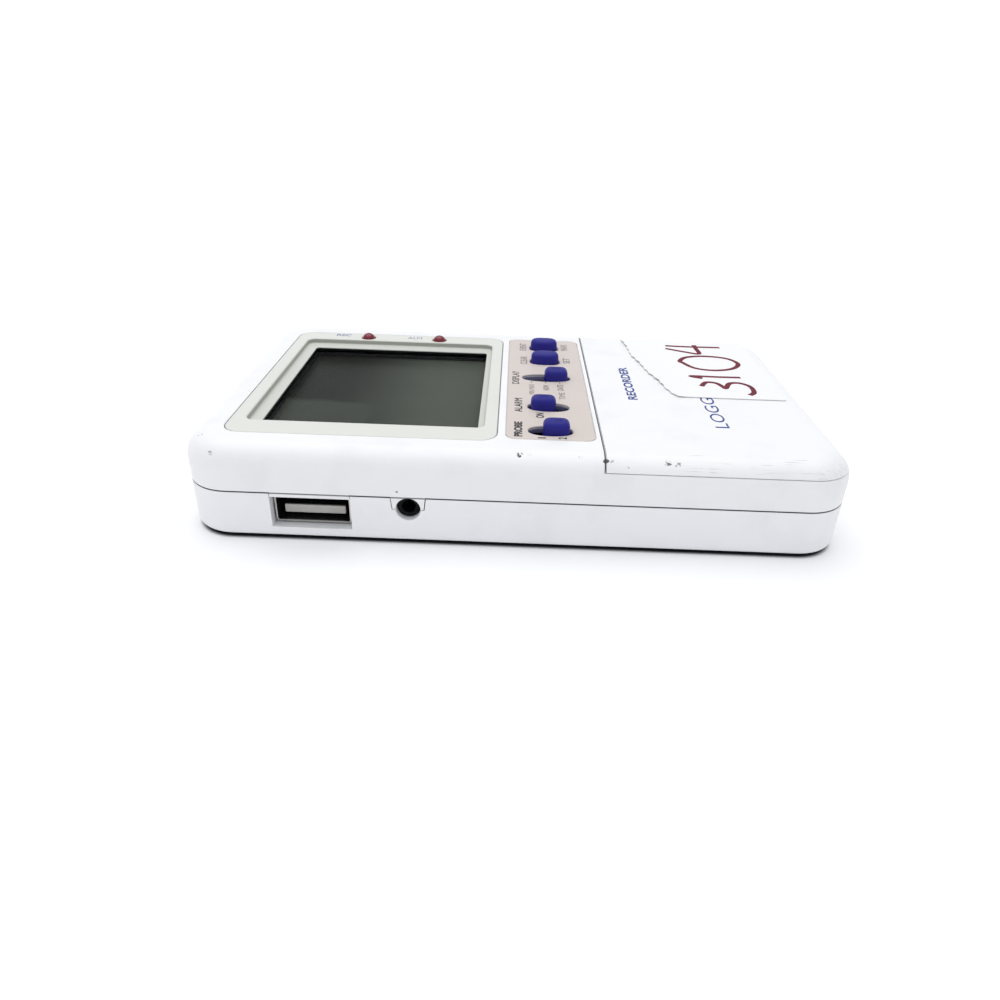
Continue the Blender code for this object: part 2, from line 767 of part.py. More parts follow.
def cut_top_openings(case):
    above = CASE_TOP + OVERSHOOT
    below = TOP_UNDERSIDE - OVERSHOOT
    bezel_seat = rounded_outline(
        BEZEL_LEFT - SEAM_GAP,
        BEZEL_RIGHT + SEAM_GAP,
        -BEZEL_WIDTH / 2 - SEAM_GAP,
        BEZEL_WIDTH / 2 + SEAM_GAP,
        BEZEL_RADIUS + SEAM_GAP,
        SMALL_STEPS,
    )
    seat_floor = CASE_TOP - BEZEL_FLANGE - LABEL_GAP
    overlay_seat = overlay_outline(SEAM_GAP)
    cut(
        case,
        prism("bezel_seat", bezel_seat, seat_floor, above),
        prism("display_hole", bezel_opening(TUB_WALL + FIT_GAP), below, above),
        prism("overlay_seat", overlay_seat, CASE_TOP - OVERLAY_RECESS, above),
    )
    for name, x in LAMPS:
        radius = LAMP_RADIUS + LAMP_HOLE_GAP
        bottom, top = (x, LAMP_Y, below), (x, LAMP_Y, above)
        cut(case, rod(f"{name}_lamp_hole", bottom, top, radius, SMALL_SIDES))
    for name, y in BUTTONS:
        cut(case, prism(f"{name}_hole", button_outline(y, FIT_GAP), below, above))
    for name, y, positions, _ in SLIDERS:
        cut(case, prism(f"{name}_slot", slot_outline(y, positions), below, above))


def add_side_tabs(case):
    """The tab over the USB notch and the two over the jacks' upper halves, with the jack holes."""
    half = USB_OUTSIDE_WIDTH / 2 + NOTCH_GAP - SEAM_GAP
    usb_tab = block(
        "usb_tab",
        USB_X - half,
        USB_X + half,
        NEAR_SIDE,
        NEAR_SIDE + TAB_THICKNESS,
        usb_notch_top(),
        PARTING_HEIGHT + TAB_OVERLAP,
    )
    join(case, usb_tab)
    for side, name in ((-1, "near"), (1, "far")):
        top = PARTING_HEIGHT + TAB_OVERLAP
        join(case, jack_tab(f"{name}_jack_tab", side, 0.0, top, SIDE_WALL, 0.0))
    for side, name in ((-1, "near"), (1, "far")):
        cut(case, jack_hole(f"{name}_jack_hole_above", side))


def usb_notch_top():
    return USB_TOP - NOTCH_GAP / 2


def bottom_case():
    rim = PARTING_HEIGHT - SEAM_GAP / 2
    case = prism(
        "bottom_case",
        case_outline(0),
        CASE_BOTTOM,
        rim,
        bottom=BOTTOM_ROUND,
        segments=SMALL_STEPS,
    )
    lip_top = PARTING_HEIGHT + LIP_RISE
    join(case, prism("lip", case_outline(LIP_OFFSET), FLOOR_TOP, lip_top))
    above = lip_top + OVERSHOOT
    cut(case, prism("case_space", case_outline(LIP_INNER), FLOOR_TOP, above))
    pillar_low = CASE_BOTTOM + FLOOR_WALL / 2
    for number, (x, y) in enumerate(screw_places(), 1):
        radius = SCREW_HEAD_RADIUS + COUNTERBORE_GAP + PILLAR_WALL
        top = (x, y, BOSS_JOINT_HEIGHT)
        join(case, rod(f"pillar_{number}", (x, y, pillar_low), top, radius))
    for number, (x, y) in enumerate(screw_places(), 1):
        bore = SCREW_HEAD_RADIUS + COUNTERBORE_GAP
        hole = SCREW_SHANK_RADIUS + CLEARANCE_HOLE_GAP
        recess_top = (x, y, CASE_BOTTOM + COUNTERBORE_DEPTH)
        cut(
            case,
            rod(f"counterbore_{number}", (x, y, 0), recess_top, bore),
            rod(
                f"screw_hole_{number}",
                (x, y, 0),
                (x, y, BOSS_JOINT_HEIGHT + OVERSHOOT),
                hole,
                SMALL_SIDES,
            ),
        )
    for number, (x, y) in enumerate(foot_places(), 1):
        recess = (x, y, CASE_BOTTOM + FOOT_RECESS)
        cut(case, rod(f"foot_recess_{number}", (x, y, 0), recess, FOOT_RADIUS + FIT_GAP))
    half = USB_OUTSIDE_WIDTH / 2 + NOTCH_GAP
    cut(
        case,
        block(
            "usb_notch",
            USB_X - half,
            USB_X + half,
            NEAR_SIDE - OVERSHOOT,
            NEAR_SIDE + LIP_INNER + OVERSHOOT,
            FLOOR_TOP,
            above,
        ),
    )
    for side, name in ((-1, "near"), (1, "far")):
        depth = SIDE_WALL + SEAM_GAP
        cut(
            case,
            jack_tab(f"{name}_tab_notch", side, SEAM_GAP, rim + OVERSHOOT, depth, OVERSHOOT),
            jack_hole(f"{name}_jack_hole_below", side),
        )
    WHITE_ABS.dress(case)


def foot_places():
    return [
        (math.copysign(abs(x) - FOOT_FROM_SCREW, x), y) for x, y in screw_places()
    ]


def battery_cover():
    """The cover rests against the seam; its origin is on the seam, on the line that it slides along."""
    low = COVER_SEAM_HEIGHT + SEAM_GAP / 2
    place = (SEAM_X, 0, COVER_SEAM_HEIGHT)
    cover = prism(
        "battery_cover",
        case_outline(0),
        PARTING_HEIGHT,
        CASE_TOP,
        place,
        top=TOP_ROUND,
    )
    far = CASE_WIDTH
    left = LEFT_END - OVERSHOOT
    cut(
        cover,
        block("below_cover", left, -left, -far, far, 0, low),
        block("left_of_cover", left, SEAM_X + SEAM_GAP, -far, far, 0, CASE_TOP + OVERSHOOT),
    )
    slope = DOVETAIL_UNDERCUT / (DECK_TOP - COVER_SEAM_HEIGHT + SEAM_GAP / 2)
    space_low = low - OVERSHOOT
    space_high = CASE_TOP - COVER_THICKNESS
    grow_high = SLIDE_GAP + slope * (space_high - DECK_TOP)
    grow_low = SLIDE_GAP - slope * (DECK_TOP - space_low)
    space = tapered(
        "deck_space",
        deck_outline(grow_low),
        deck_outline(grow_high),
        space_low,
        space_high,
    )
    cut(cover, space)
    WHITE_ABS.dress(cover)


# Display


def lcd_bezel():
    outline = rounded_outline(
        BEZEL_LEFT,
        BEZEL_RIGHT,
        -BEZEL_WIDTH / 2,
        BEZEL_WIDTH / 2,
        BEZEL_RADIUS,
        SMALL_STEPS,
    )
    bezel = prism("lcd_bezel", outline, CASE_TOP - BEZEL_FLANGE, CASE_TOP)
    bottom = CASE_TOP - BEZEL_DEPTH
    above = CASE_TOP + OVERSHOOT
    middle = CASE_TOP - BEZEL_FLANGE / 2
    join(bezel, prism("bezel_tub", bezel_opening(TUB_WALL), bottom, middle))
    cut(
        bezel,
        prism("bezel_mouth", bezel_opening(0), CASE_TOP - LEDGE_DEPTH, above),
        prism("bezel_throat", bezel_opening(-LEDGE_WIDTH), bottom - OVERSHOOT, above),
    )
    for name, x in LAMPS:
        radius = LAMP_RADIUS + LAMP_HOLE_GAP
        start, end = (x, LAMP_Y, bottom), (x, LAMP_Y, above)
        cut(bezel, rod(f"{name}_bezel_hole", start, end, radius, ROUND_SIDES))
    GREY_GREEN.dress(bezel)


def lcd_window():
    top = CASE_TOP - BEZEL_DEPTH - FIT_GAP
    outline = bezel_opening(TUB_WALL - FIT_GAP)
    window = prism("lcd_window", outline, top - WINDOW_THICKNESS, top)
    CLEAR.dress(window)


def lcd_stack():
    """The glass cell, its holder and the two elastomer strips that join it to the board."""
    glass_top = CASE_TOP - CELL_DEPTH
    glass_bottom = glass_top - DISPLAY_GLASS
    border = GLASS_BORDER - LEDGE_WIDTH
    cell = prism("lcd_cell", bezel_opening(border), glass_bottom, glass_top)
    DISPLAY_GREY.dress(cell)
    window_bottom = CASE_TOP - BEZEL_DEPTH - FIT_GAP - WINDOW_THICKNESS
    holder = prism(
        "lcd_holder",
        bezel_opening(border + FIT_GAP + HOLDER_WALL),
        STANDING,
        window_bottom - FIT_GAP,
    )
    cut(
        holder,
        prism(
            "holder_space",
            bezel_opening(border + FIT_GAP),
            STANDING - OVERSHOOT,
            glass_top + FIT_GAP / 2,
        ),
        prism(
            "holder_mouth",
            bezel_opening(border - HOLDER_RIM_OVERLAP),
            STANDING - OVERSHOOT,
            CASE_TOP,
        ),
    )
    BLACK_PLASTIC.dress(holder)
    left = BEZEL_LEFT + OPENING_MARGIN_END + ELASTOMER_WIDTH
    right = BEZEL_RIGHT - OPENING_MARGIN_KEYS - ELASTOMER_WIDTH
    near = -BEZEL_WIDTH / 2 + OPENING_MARGIN_NEAR + FIT_GAP
    far = BEZEL_WIDTH / 2 - OPENING_MARGIN_FAR - FIT_GAP
    places = {"near": near, "far": far - ELASTOMER_WIDTH}
    for name, y in places.items():
        strip = block(
            f"elastomer_{name}",
            left,
            right,
            y,
            y + ELASTOMER_WIDTH,
            STANDING - FIT_GAP,
            glass_bottom - FIT_GAP / 2,
        )
        CONDUCTIVE_RUBBER.dress(strip)


def lamps():
    """Two round-topped lamps on spacers."""
    top = CASE_TOP + LAMP_PROUD
    flange_low = top - LAMP_BODY
    for name, x in LAMPS:
        dome = arc(LAMP_RADIUS, 0, 90, ROUND_STEPS, (0.0, top - LAMP_RADIUS))
        profile = [
            (0.0, flange_low),
            (LAMP_FLANGE_RADIUS, flange_low),
            (LAMP_FLANGE_RADIUS, flange_low + LAMP_FLANGE),
            (LAMP_RADIUS, flange_low + LAMP_FLANGE),
            *dome,
        ]
        lamp = turned(f"{name}_lamp", profile[:-1] + [(0.0, top)], (x, LAMP_Y, 0))
        LAMP_RED.dress(lamp)
        start = (x, LAMP_Y, STANDING)
        end = (x, LAMP_Y, flange_low - FIT_GAP)
        spacer = rod(f"{name}_lamp_spacer", start, end, LAMP_RADIUS, SMALL_SIDES)
        WHITE_ABS.dress(spacer)


# Keypad


def overlay_outline(grow):
    return rounded_outline(
        OVERLAY_LEFT - grow,
        OVERLAY_RIGHT + grow,
        OVERLAY_SHIFT - OVERLAY_WIDTH / 2 - grow,
        OVERLAY_SHIFT + OVERLAY_WIDTH / 2 + grow,
        OVERLAY_RADIUS + grow,
        SMALL_STEPS,
    )


def keypad_overlay():
    low = CASE_TOP - OVERLAY_RECESS + LABEL_GAP
    overlay = prism("keypad_overlay", overlay_outline(0), low, low + OVERLAY_THICKNESS)
    above = CASE_TOP + OVERSHOOT
    below = low - OVERSHOOT
    for name, y in BUTTONS:
        outline = button_outline(y, FIT_GAP)
        cut(overlay, prism(f"{name}_window", outline, below, above))
    for name, y, positions, _ in SLIDERS:
        outline = slot_outline(y, positions)
        cut(overlay, prism(f"{name}_window", outline, below, above))
    OVERLAY_BEIGE.dress(overlay)


def buttons():
    """Each press button, with the plunger it pushes and that plunger's switch."""
    flange_top = TOP_UNDERSIDE - REST_GAP
    flange_low = flange_top - BUTTON_FLANGE
    for name, y in BUTTONS:
        place = (KEYS_X, y, flange_low)
        button = prism(
            f"{name}_button",
            button_outline(y, 0),
            flange_low,
            CASE_TOP + BUTTON_PROUD,
            place,
            top=BUTTON_EDGE,
            segments=SMALL_STEPS,
        )
        flange = prism(
            f"{name}_flange", button_outline(y, BUTTON_FLANGE_LIP), flange_low, flange_top
        )
        join(button, flange)
        KEY_BLUE.dress(button)
        switch_top = STANDING + TACT_HEIGHT
        plunger_low = switch_top - PLUNGER_INSERT
        plunger = rod(
            f"{name}_plunger",
            (KEYS_X, y, plunger_low),
            (KEYS_X, y, flange_low - LABEL_GAP),
            PLUNGER_RADIUS,
            place=(KEYS_X, y, plunger_low),
        )
        BLACK_PLASTIC.dress(plunger)
        half = TACT_SIZE / 2
        switch = block(
            f"{name}_tact_switch",
            KEYS_X - half,
            KEYS_X + half,
            y - half,
            y + half,
            STANDING,
            switch_top,
        )
        well_low = (KEYS_X, y, plunger_low - BUTTON_TRAVEL - FIT_GAP)
        well_top = (KEYS_X, y, switch_top + OVERSHOOT)
        well = rod(f"{name}_plunger_well", well_low, well_top, PLUNGER_RADIUS + FIT_GAP)
        cut(switch, well)
        STEEL.dress(switch)


def sliders():
    """Each slide knob, with the actuator it carries and that actuator's switch."""
    for name, y, positions, side in SLIDERS:
        x = knob_x(positions, side)
        travel = (positions - 1) * POSITION_STEP
        knob = prism(
            f"{name}_knob",
            centred_outline(x, y, KNOB_LENGTH, KNOB_DEPTH, KNOB_RADIUS, CORNER_STEPS),
            SKIRT_BOTTOM,
            CASE_TOP + KNOB_PROUD,
            (x, y, CASE_TOP),
            top=KNOB_EDGE,
            segments=SMALL_STEPS,
        )
        cover = slot_length(positions) + travel + 2 * REST_GAP
        plate = centred_outline(
            x, y, cover, KNOB_DEPTH + 2 * BUTTON_FLANGE_LIP, KNOB_RADIUS
        )
        join(knob, prism(f"{name}_skirt", plate, SKIRT_BOTTOM, SKIRT_TOP))
        switch_top = STANDING + SWITCH_HEIGHT
        actuator_low = switch_top - SWITCH_HEIGHT / 2
        actuator_top = SKIRT_TOP
        half_length = ACTUATOR_LENGTH / 2
        half_depth = ACTUATOR_DEPTH / 2
        pocket = block(
            f"{name}_pocket",
            x - half_length - FIT_GAP,
            x + half_length + FIT_GAP,
            y - half_depth - FIT_GAP,
            y + half_depth + FIT_GAP,
            SKIRT_BOTTOM - OVERSHOOT,
            actuator_top + FIT_GAP,
        )
        cut(knob, pocket)
        KEY_BLUE.dress(knob)
        actuator = block(
            f"{name}_actuator",
            x - half_length,
            x + half_length,
            y - half_depth,
            y + half_depth,
            actuator_low,
            actuator_top,
            place=(x, y, actuator_low),
        )
        BLACK_PLASTIC.dress(actuator)
        half_body = (travel + ACTUATOR_LENGTH) / 2 + SWITCH_END
        body = block(
            f"{name}_switch_body",
            KEYS_X - half_body,
            KEYS_X + half_body,
            y - SWITCH_DEPTH / 2,
            y + SWITCH_DEPTH / 2,
            STANDING,
            switch_top,
        )
        half_slot = (travel + ACTUATOR_LENGTH) / 2 + FIT_GAP
        slot = block(
            f"{name}_switch_slot",
            KEYS_X - half_slot,
            KEYS_X + half_slot,
            y - half_depth - FIT_GAP,
            y + half_depth + FIT_GAP,
            actuator_low - FIT_GAP,
            switch_top + OVERSHOOT,
        )
        cut(body, slot)
        STEEL.dress(body)


# Board


def main_board():
    half = FAR_SIDE - BOARD_EDGE
    left = LEFT_END + BOARD_EDGE
    outline = rounded_outline(left, BOARD_RIGHT, -half, half, BOARD_RADIUS, SMALL_STEPS)
    board = prism("main_board", outline, BOARD_BOTTOM, BOARD_TOP)
    below = BOARD_BOTTOM - OVERSHOOT
    above = BOARD_TOP + OVERSHOOT
    clear = SCREW_SHANK_RADIUS + PILOT_GAP + BOSS_WALL + REST_GAP
    for number, (x, y) in enumerate(screw_places(), 1):
        if x > 0:
            continue
        side = math.copysign(1, y)
        edges = sorted((y - side * clear, side * CASE_WIDTH))
        corner = block(
            f"board_corner_{number}", LEFT_END, x + clear, *edges, below, above
        )
        cut(board, corner)
    jack_half = JACK_BODY_WIDTH / 2 + REST_GAP
    for side, name in ((-1, "near"), (1, "far")):
        inner = side * (jack_front() - JACK_BODY_LENGTH - REST_GAP)
        edges = sorted((inner, side * CASE_WIDTH))
        notch = block(
            f"{name}_jack_notch", JACK_X - jack_half, JACK_X + jack_half, *edges, below, above
        )
        cut(board, notch)
    for number, (x, y) in enumerate(board_screw_places(), 1):
        radius = BOARD_SCREW_RADIUS + PILOT_GAP
        hole = rod(f"board_hole_{number}", (x, y, below), (x, y, above), radius, SMALL_SIDES)
        cut(board, hole)
    BOARD_GREEN.dress(board)


def board_parts():
    """What hangs under the board: two chips, a crystal can and the buzzer."""
    top = BOARD_BOTTOM - FIT_GAP
    chips = (
        ("controller_chip", CONTROLLER_FROM_USB, CONTROLLER_SIZE, CONTROLLER_SIZE),
        ("memory_chip", MEMORY_FROM_USB, MEMORY_LENGTH, MEMORY_WIDTH),
    )
    for name, from_usb, length, width in chips:
        outline = centred_outline(
            USB_X + from_usb, CHIPS_Y, length, width, CHIP_HEIGHT / 4, CHAMFER_STEPS
        )
        CHIP_BLACK.dress(prism(name, outline, top - CHIP_HEIGHT, top))
    can_x = USB_X + CRYSTAL_FROM_USB
    start = (can_x, CHIPS_Y - CRYSTAL_LENGTH / 2, top - CRYSTAL_RADIUS)
    end = (can_x, CHIPS_Y + CRYSTAL_LENGTH / 2, top - CRYSTAL_RADIUS)
    STEEL.dress(rod("crystal_can", start, end, CRYSTAL_RADIUS, SMALL_SIDES))
    centre = (KEYS_X, BUZZER_Y, top)
    profile = [
        (0.0, 0.0),
        (BUZZER_RADIUS, 0.0),
        (BUZZER_RADIUS, -BUZZER_HEIGHT),
        (BUZZER_HOLE_RADIUS, -BUZZER_HEIGHT),
        (BUZZER_HOLE_RADIUS, -BUZZER_HEIGHT / 2),
        (0.0, -BUZZER_HEIGHT / 2),
    ]
    BLACK_PLASTIC.dress(turned("buzzer", profile, centre))


# Sockets


def usb_socket():
    half = USB_OUTSIDE_WIDTH / 2
    back = USB_FRONT + USB_LENGTH
    shell = block("usb_shell", USB_X - half, USB_X + half, USB_FRONT, back, USB_BOTTOM, USB_TOP)
    inside_low = USB_BOTTOM + USB_SHEET
    inside_half = USB_INSIDE_WIDTH / 2
    space = block(
        "usb_space",
        USB_X - inside_half,
        USB_X + inside_half,
        USB_FRONT - OVERSHOOT,
        back - USB_SHEET,
        inside_low,
        inside_low + USB_INSIDE_HEIGHT,
    )
    cut(shell, space)
    STEEL.dress(shell)
    tongue_low = inside_low + TONGUE_OFFSET
    tongue_half = TONGUE_WIDTH / 2
    root_front = back - USB_SHEET - TONGUE_ROOT
    tongue = block(
        "usb_tongue",
        USB_X - tongue_half,
        USB_X + tongue_half,
        USB_FRONT + TONGUE_RECESS,
        root_front + TONGUE_ROOT / 2,
        tongue_low,
        tongue_low + TONGUE_THICKNESS,
    )
    root = block(
        "tongue_root",
        USB_X - inside_half + FIT_GAP,
        USB_X + inside_half - FIT_GAP,
        root_front,
        back - USB_SHEET - FIT_GAP,
        inside_low + FIT_GAP,
        inside_low + USB_INSIDE_HEIGHT - FIT_GAP,
    )
    join(tongue, root)
    TONGUE_BEIGE.dress(tongue)


def jack_front():
    """How far from the middle a jack's body starts."""
    return FAR_SIDE - LIP_INNER - REST_GAP


def probe_jacks():
    for number, side in ((1, -1), (2, 1)):
        front = side * jack_front()
        back = side * (jack_front() - JACK_BODY_LENGTH)
        half = JACK_BODY_WIDTH / 2
        body = block(
            f"probe_jack_{number}",
            JACK_X - half,
            JACK_X + half,
            *sorted((front, back)),
            JACK_HEIGHT - JACK_BODY_HEIGHT / 2,
            JACK_HEIGHT + JACK_BODY_HEIGHT / 2,
        )
        nose_end = side * (FAR_SIDE - JACK_NOSE_RECESS)
        nose = rod(
            f"jack_nose_{number}",
            (JACK_X, front - side * OVERSHOOT, JACK_HEIGHT),
            (JACK_X, nose_end, JACK_HEIGHT),
            JACK_HOLE_RADIUS - JACK_NOSE_GAP,
        )
        join(body, nose)
        bore_end = side * (jack_front() - JACK_BODY_LENGTH + OVERSHOOT)
        bore = rod(
            f"jack_bore_{number}",
            (JACK_X, bore_end, JACK_HEIGHT),
            (JACK_X, side * (FAR_SIDE + OVERSHOOT), JACK_HEIGHT),
            JACK_BORE_RADIUS,
            SMALL_SIDES,
        )
        cut(body, bore)
        BLACK_PLASTIC.dress(body)


# Battery bay


def cells():
    """Two cells across the case, laid opposite ways; each touches its flat contact at the nub."""
    for number, side in ((1, 1), (2, -1)):
        x = BAY_X - side * CELL_OFFSET
        nub_end = PLATE_FACE - LABEL_GAP
        low = nub_end - CELL_LENGTH
        profile = [
            (0.0, low),
            (CELL_RADIUS, low),
            (CELL_RADIUS, nub_end - CELL_NUB),
            (CELL_NUB_RADIUS, nub_end - CELL_NUB),
            (CELL_NUB_RADIUS, nub_end),
            (0.0, nub_end),
        ]
        cell = turned(f"battery_{number}", profile, (x, 0, CELL_HEIGHT), (0, side, 0))
        CELL_SLEEVE.dress(cell)


def contact_plate(name, left, right, side):
    near, far = sorted((side * PLATE_FACE, side * (PLATE_FACE + PLATE_THICKNESS)))
    low = BAY_FLOOR_TOP + FIT_GAP
    return block(name, left, right, near, far, low, low + PLATE_HEIGHT)


def contacts():
    half = PLATE_WIDTH / 2
    left_x, right_x = tab_slot_places()
    bridge = contact_plate("bridge_contact", left_x - half, right_x + half, 1)
    STEEL.dress(bridge)
    for name, x in (("negative_contact", left_x), ("positive_contact", right_x)):
        plate = contact_plate(name, x - half, x + half, -1)
        tab_low = BAY_FLOOR_TOP + SOLDER_TAB_RISE
        tab = block(
            f"{name}_tab",
            x - SOLDER_TAB_WIDTH / 2,
            x + SOLDER_TAB_WIDTH / 2,
            -BAY_HALF_WIDTH - BAY_WALL - SOLDER_TAB_PROUD,
            -PLATE_FACE - PLATE_THICKNESS / 2,
            tab_low,
            tab_low + PLATE_THICKNESS,
        )
        join(plate, tab)
        STEEL.dress(plate)
    for number, side in ((1, -1), (2, 1)):
        x = BAY_X + side * CELL_OFFSET
        STEEL.dress(contact_spring(f"contact_spring_{number}", x, side))


def contact_spring(name, x, side):
    """A coil from a cell's flat end to the plate on this side."""
    start = CELL_LENGTH - PLATE_FACE + 2 * LABEL_GAP + SPRING_WIRE
    end = PLATE_FACE - LABEL_GAP - SPRING_WIRE
    steps = SPRING_TURNS * SMALL_SIDES
    points = []
    for step in range(steps + 1):
        share = step / steps
        angle = math.tau * SPRING_TURNS * share
        radius = SPRING_SMALL_RADIUS + (SPRING_RADIUS - SPRING_SMALL_RADIUS) * share
        points.append(
            (
                x + radius * math.cos(angle),
                side * (start + (end - start) * share),
                CELL_HEIGHT + radius * math.sin(angle),
            )
        )
    return wire(name, points, SPRING_WIRE, WIRE_RESOLUTION)


def battery_wires():
    """From each solder tab's end, along the bay's outside, to a pad under the board."""
    tab_end = -BAY_HALF_WIDTH - BAY_WALL - SOLDER_TAB_PROUD
    height = BAY_FLOOR_TOP + SOLDER_TAB_RISE + PLATE_THICKNESS / 2
    bay_left = BAY_X - BAY_HALF_LENGTH - BAY_WALL
    pad_height = BOARD_BOTTOM - REST_GAP - BATTERY_WIRE_RADIUS
    left_x, right_x = tab_slot_places()
    routes = (
        ("negative_wire", left_x, 0.0, 0.0, BLACK_PLASTIC),
        ("positive_wire", right_x, WIRE_SPACING, PAD_SPACING, WIRE_RED),
    )
    for name, x, outward, along, finish in routes:
        lane = tab_end - REST_GAP - BATTERY_WIRE_RADIUS - outward
        corner_x = bay_left - WIRE_CORNER - outward
        pad_x = BOARD_RIGHT - PAD_FROM_EDGE - along
        knots = [
            (x, tab_end - REST_GAP, height),
            (x, lane, height),
            (x - WIRE_BEND, lane - WIRE_BOW, height),
            (corner_x + WIRE_CORNER, lane - WIRE_BOW / 2, height),
            (corner_x - WIRE_CORNER / 3, lane + WIRE_APPROACH, height),
            (pad_x + WIRE_BEND / 2, PADS_Y - WIRE_APPROACH, height + WIRE_BOW / 2),
            (pad_x, PADS_Y, pad_height),
        ]
        path = smooth_path(knots, WIRE_STEPS)
        finish.dress(wire(name, path, BATTERY_WIRE_RADIUS, WIRE_RESOLUTION))


# Fasteners, feet and label


def screw(name, place, head, shank, slot):
    """A slotted screw on its head, from (radius, height), (radius, length) and slot sizes; place is
    the middle of its head's lower face."""
    head_radius, head_height = head
    shank_radius, length = shank
    slot_length, slot_width, slot_depth = slot
    profile = [
        (0.0, 0.0),
        (head_radius, 0.0),
        (head_radius, head_height),
        (shank_radius, head_height),
        (shank_radius, length - shank_radius),
        (shank_radius / 3, length),
        (0.0, length),
    ]
    body = turned(name, profile, place, sides=SMALL_SIDES)
    x, y, low = place
    half = slot_width / 2
    reach = slot_length / 2
    cut(
        body,
        block(
            f"{name}_slot",
            x - reach,
            x + reach,
            y - half,
            y + half,
            low - OVERSHOOT,
            low + slot_depth,
        ),
    )
    STEEL.dress(body)


def screws():
    head = (SCREW_HEAD_RADIUS, SCREW_HEAD_HEIGHT)
    shank = (SCREW_SHANK_RADIUS, SCREW_LENGTH)
    slot = (SCREW_SLOT_LENGTH, SCREW_SLOT_WIDTH, SCREW_SLOT_DEPTH)
    low = CASE_BOTTOM + COUNTERBORE_DEPTH - SCREW_HEAD_HEIGHT - FIT_GAP
    for number, (x, y) in enumerate(screw_places(), 1):
        screw(f"case_screw_{number}", (x, y, low), head, shank, slot)
    head = (BOARD_SCREW_HEAD_RADIUS, BOARD_SCREW_HEAD_HEIGHT)
    shank = (BOARD_SCREW_RADIUS, BOARD_SCREW_LENGTH)
    slot = (BOARD_SLOT_LENGTH, BOARD_SLOT_WIDTH, BOARD_SLOT_DEPTH)
    low = BOARD_BOTTOM - BOARD_SCREW_HEAD_HEIGHT - FIT_GAP
    for number, (x, y) in enumerate(board_screw_places(), 1):
        screw(f"board_screw_{number}", (x, y, low), head, shank, slot)


def feet():
    for number, (x, y) in enumerate(foot_places(), 1):
        edge = CASE_BOTTOM / 2
        profile = [
            (0.0, 0.0),
            (FOOT_RADIUS - edge, 0.0),
            (FOOT_RADIUS, edge),
            (FOOT_RADIUS, CASE_BOTTOM + FOOT_SUNK),
            (0.0, CASE_BOTTOM + FOOT_SUNK),
        ]
        FOOT_RUBBER.dress(turned(f"foot_{number}", profile, (x, y, 0)))


def cover_label():
    """A paper label with a torn left edge, on the cover's flat top."""
    right = RIGHT_END - PAPER_FROM_EDGE
    far = FAR_SIDE - PAPER_FROM_EDGE
    corners = [
        (SEAM_X + PAPER_NEAR_FROM_SEAM, PAPER_NEAR_Y),
        (right, PAPER_NEAR_Y),
        (right, far),
        (SEAM_X + PAPER_FAR_FROM_SEAM, far),
        (SEAM_X + PAPER_BEND_FROM_SEAM, PAPER_BEND_Y),
    ]
    low = CASE_TOP + LABEL_GAP
    PAPER.dress(prism("cover_label", corners, low, low + PAPER_THICKNESS))


def main():
    clear_scene()
    top_case()
    bottom_case()
    battery_cover()
    lcd_bezel()
    lcd_window()
    lcd_stack()
    lamps()
    keypad_overlay()
    buttons()
    sliders()
    main_board()
    board_parts()
    usb_socket()
    probe_jacks()
    cells()
    contacts()
    battery_wires()
    screws()
    feet()
    cover_label()


main()
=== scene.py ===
"""Looks of a hand-held two-probe data logger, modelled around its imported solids.

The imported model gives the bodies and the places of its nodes. Each class below is one sub-assembly:
the case shells, the battery cover with its paper label, the display, the keypad, the sockets, the
battery bay, the underside and the studio. A class holds its sizes as fields, models its pieces with
Blender's operators and dresses them in finishes made of shader nodes.

X runs along the case towards the battery cover, Y across it away from the USB socket, and Z up from
the surface that the feet stand on. Lengths are in metres; mm() turns millimetres into them.
"""

import logging
import math
from collections.abc import Callable, Iterable, Iterator, Sequence
from contextlib import contextmanager
from dataclasses import dataclass, field
from enum import Enum
from typing import NamedTuple

import bmesh
import bpy
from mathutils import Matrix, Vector


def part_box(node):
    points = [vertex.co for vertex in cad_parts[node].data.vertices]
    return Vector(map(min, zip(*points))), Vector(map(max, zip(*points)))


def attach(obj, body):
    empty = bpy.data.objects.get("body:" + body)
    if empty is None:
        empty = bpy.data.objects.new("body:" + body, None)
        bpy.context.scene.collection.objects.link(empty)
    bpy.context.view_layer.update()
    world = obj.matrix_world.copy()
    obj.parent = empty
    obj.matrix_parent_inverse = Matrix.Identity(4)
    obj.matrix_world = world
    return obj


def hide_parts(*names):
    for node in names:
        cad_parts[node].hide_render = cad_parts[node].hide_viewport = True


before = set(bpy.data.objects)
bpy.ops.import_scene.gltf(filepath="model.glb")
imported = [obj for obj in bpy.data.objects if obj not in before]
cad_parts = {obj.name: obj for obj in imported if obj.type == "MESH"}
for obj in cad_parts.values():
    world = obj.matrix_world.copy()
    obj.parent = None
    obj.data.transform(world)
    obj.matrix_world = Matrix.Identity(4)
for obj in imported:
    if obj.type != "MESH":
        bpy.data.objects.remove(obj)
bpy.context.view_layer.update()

LOG = logging.getLogger("data_logger")
MM = 0.001
SAME_PLACE = 1e-6
SMOOTH_ANGLE = math.radians(32)
READ_TURN = math.radians(90)
INK = 0.012 * MM
X, Y, Z = 0, 1, 2

Colour = tuple[float, float, float]
Point = tuple[float, float, float]
Pair = tuple[float, float]
Outline = Sequence[Pair]
Piece = bpy.types.Object
Part = bmesh.types.BMVert | bmesh.types.BMEdge | bmesh.types.BMFace
Wanted = Callable[[Part], bool]

UPRIGHT: Point = (0.0, 0.0, 0.0)
AWAY: Point = (math.radians(-90), 0.0, 0.0)
TOWARDS: Point = (math.radians(90), 0.0, 0.0)
DOWNWARDS: Point = (math.pi, 0.0, 0.0)


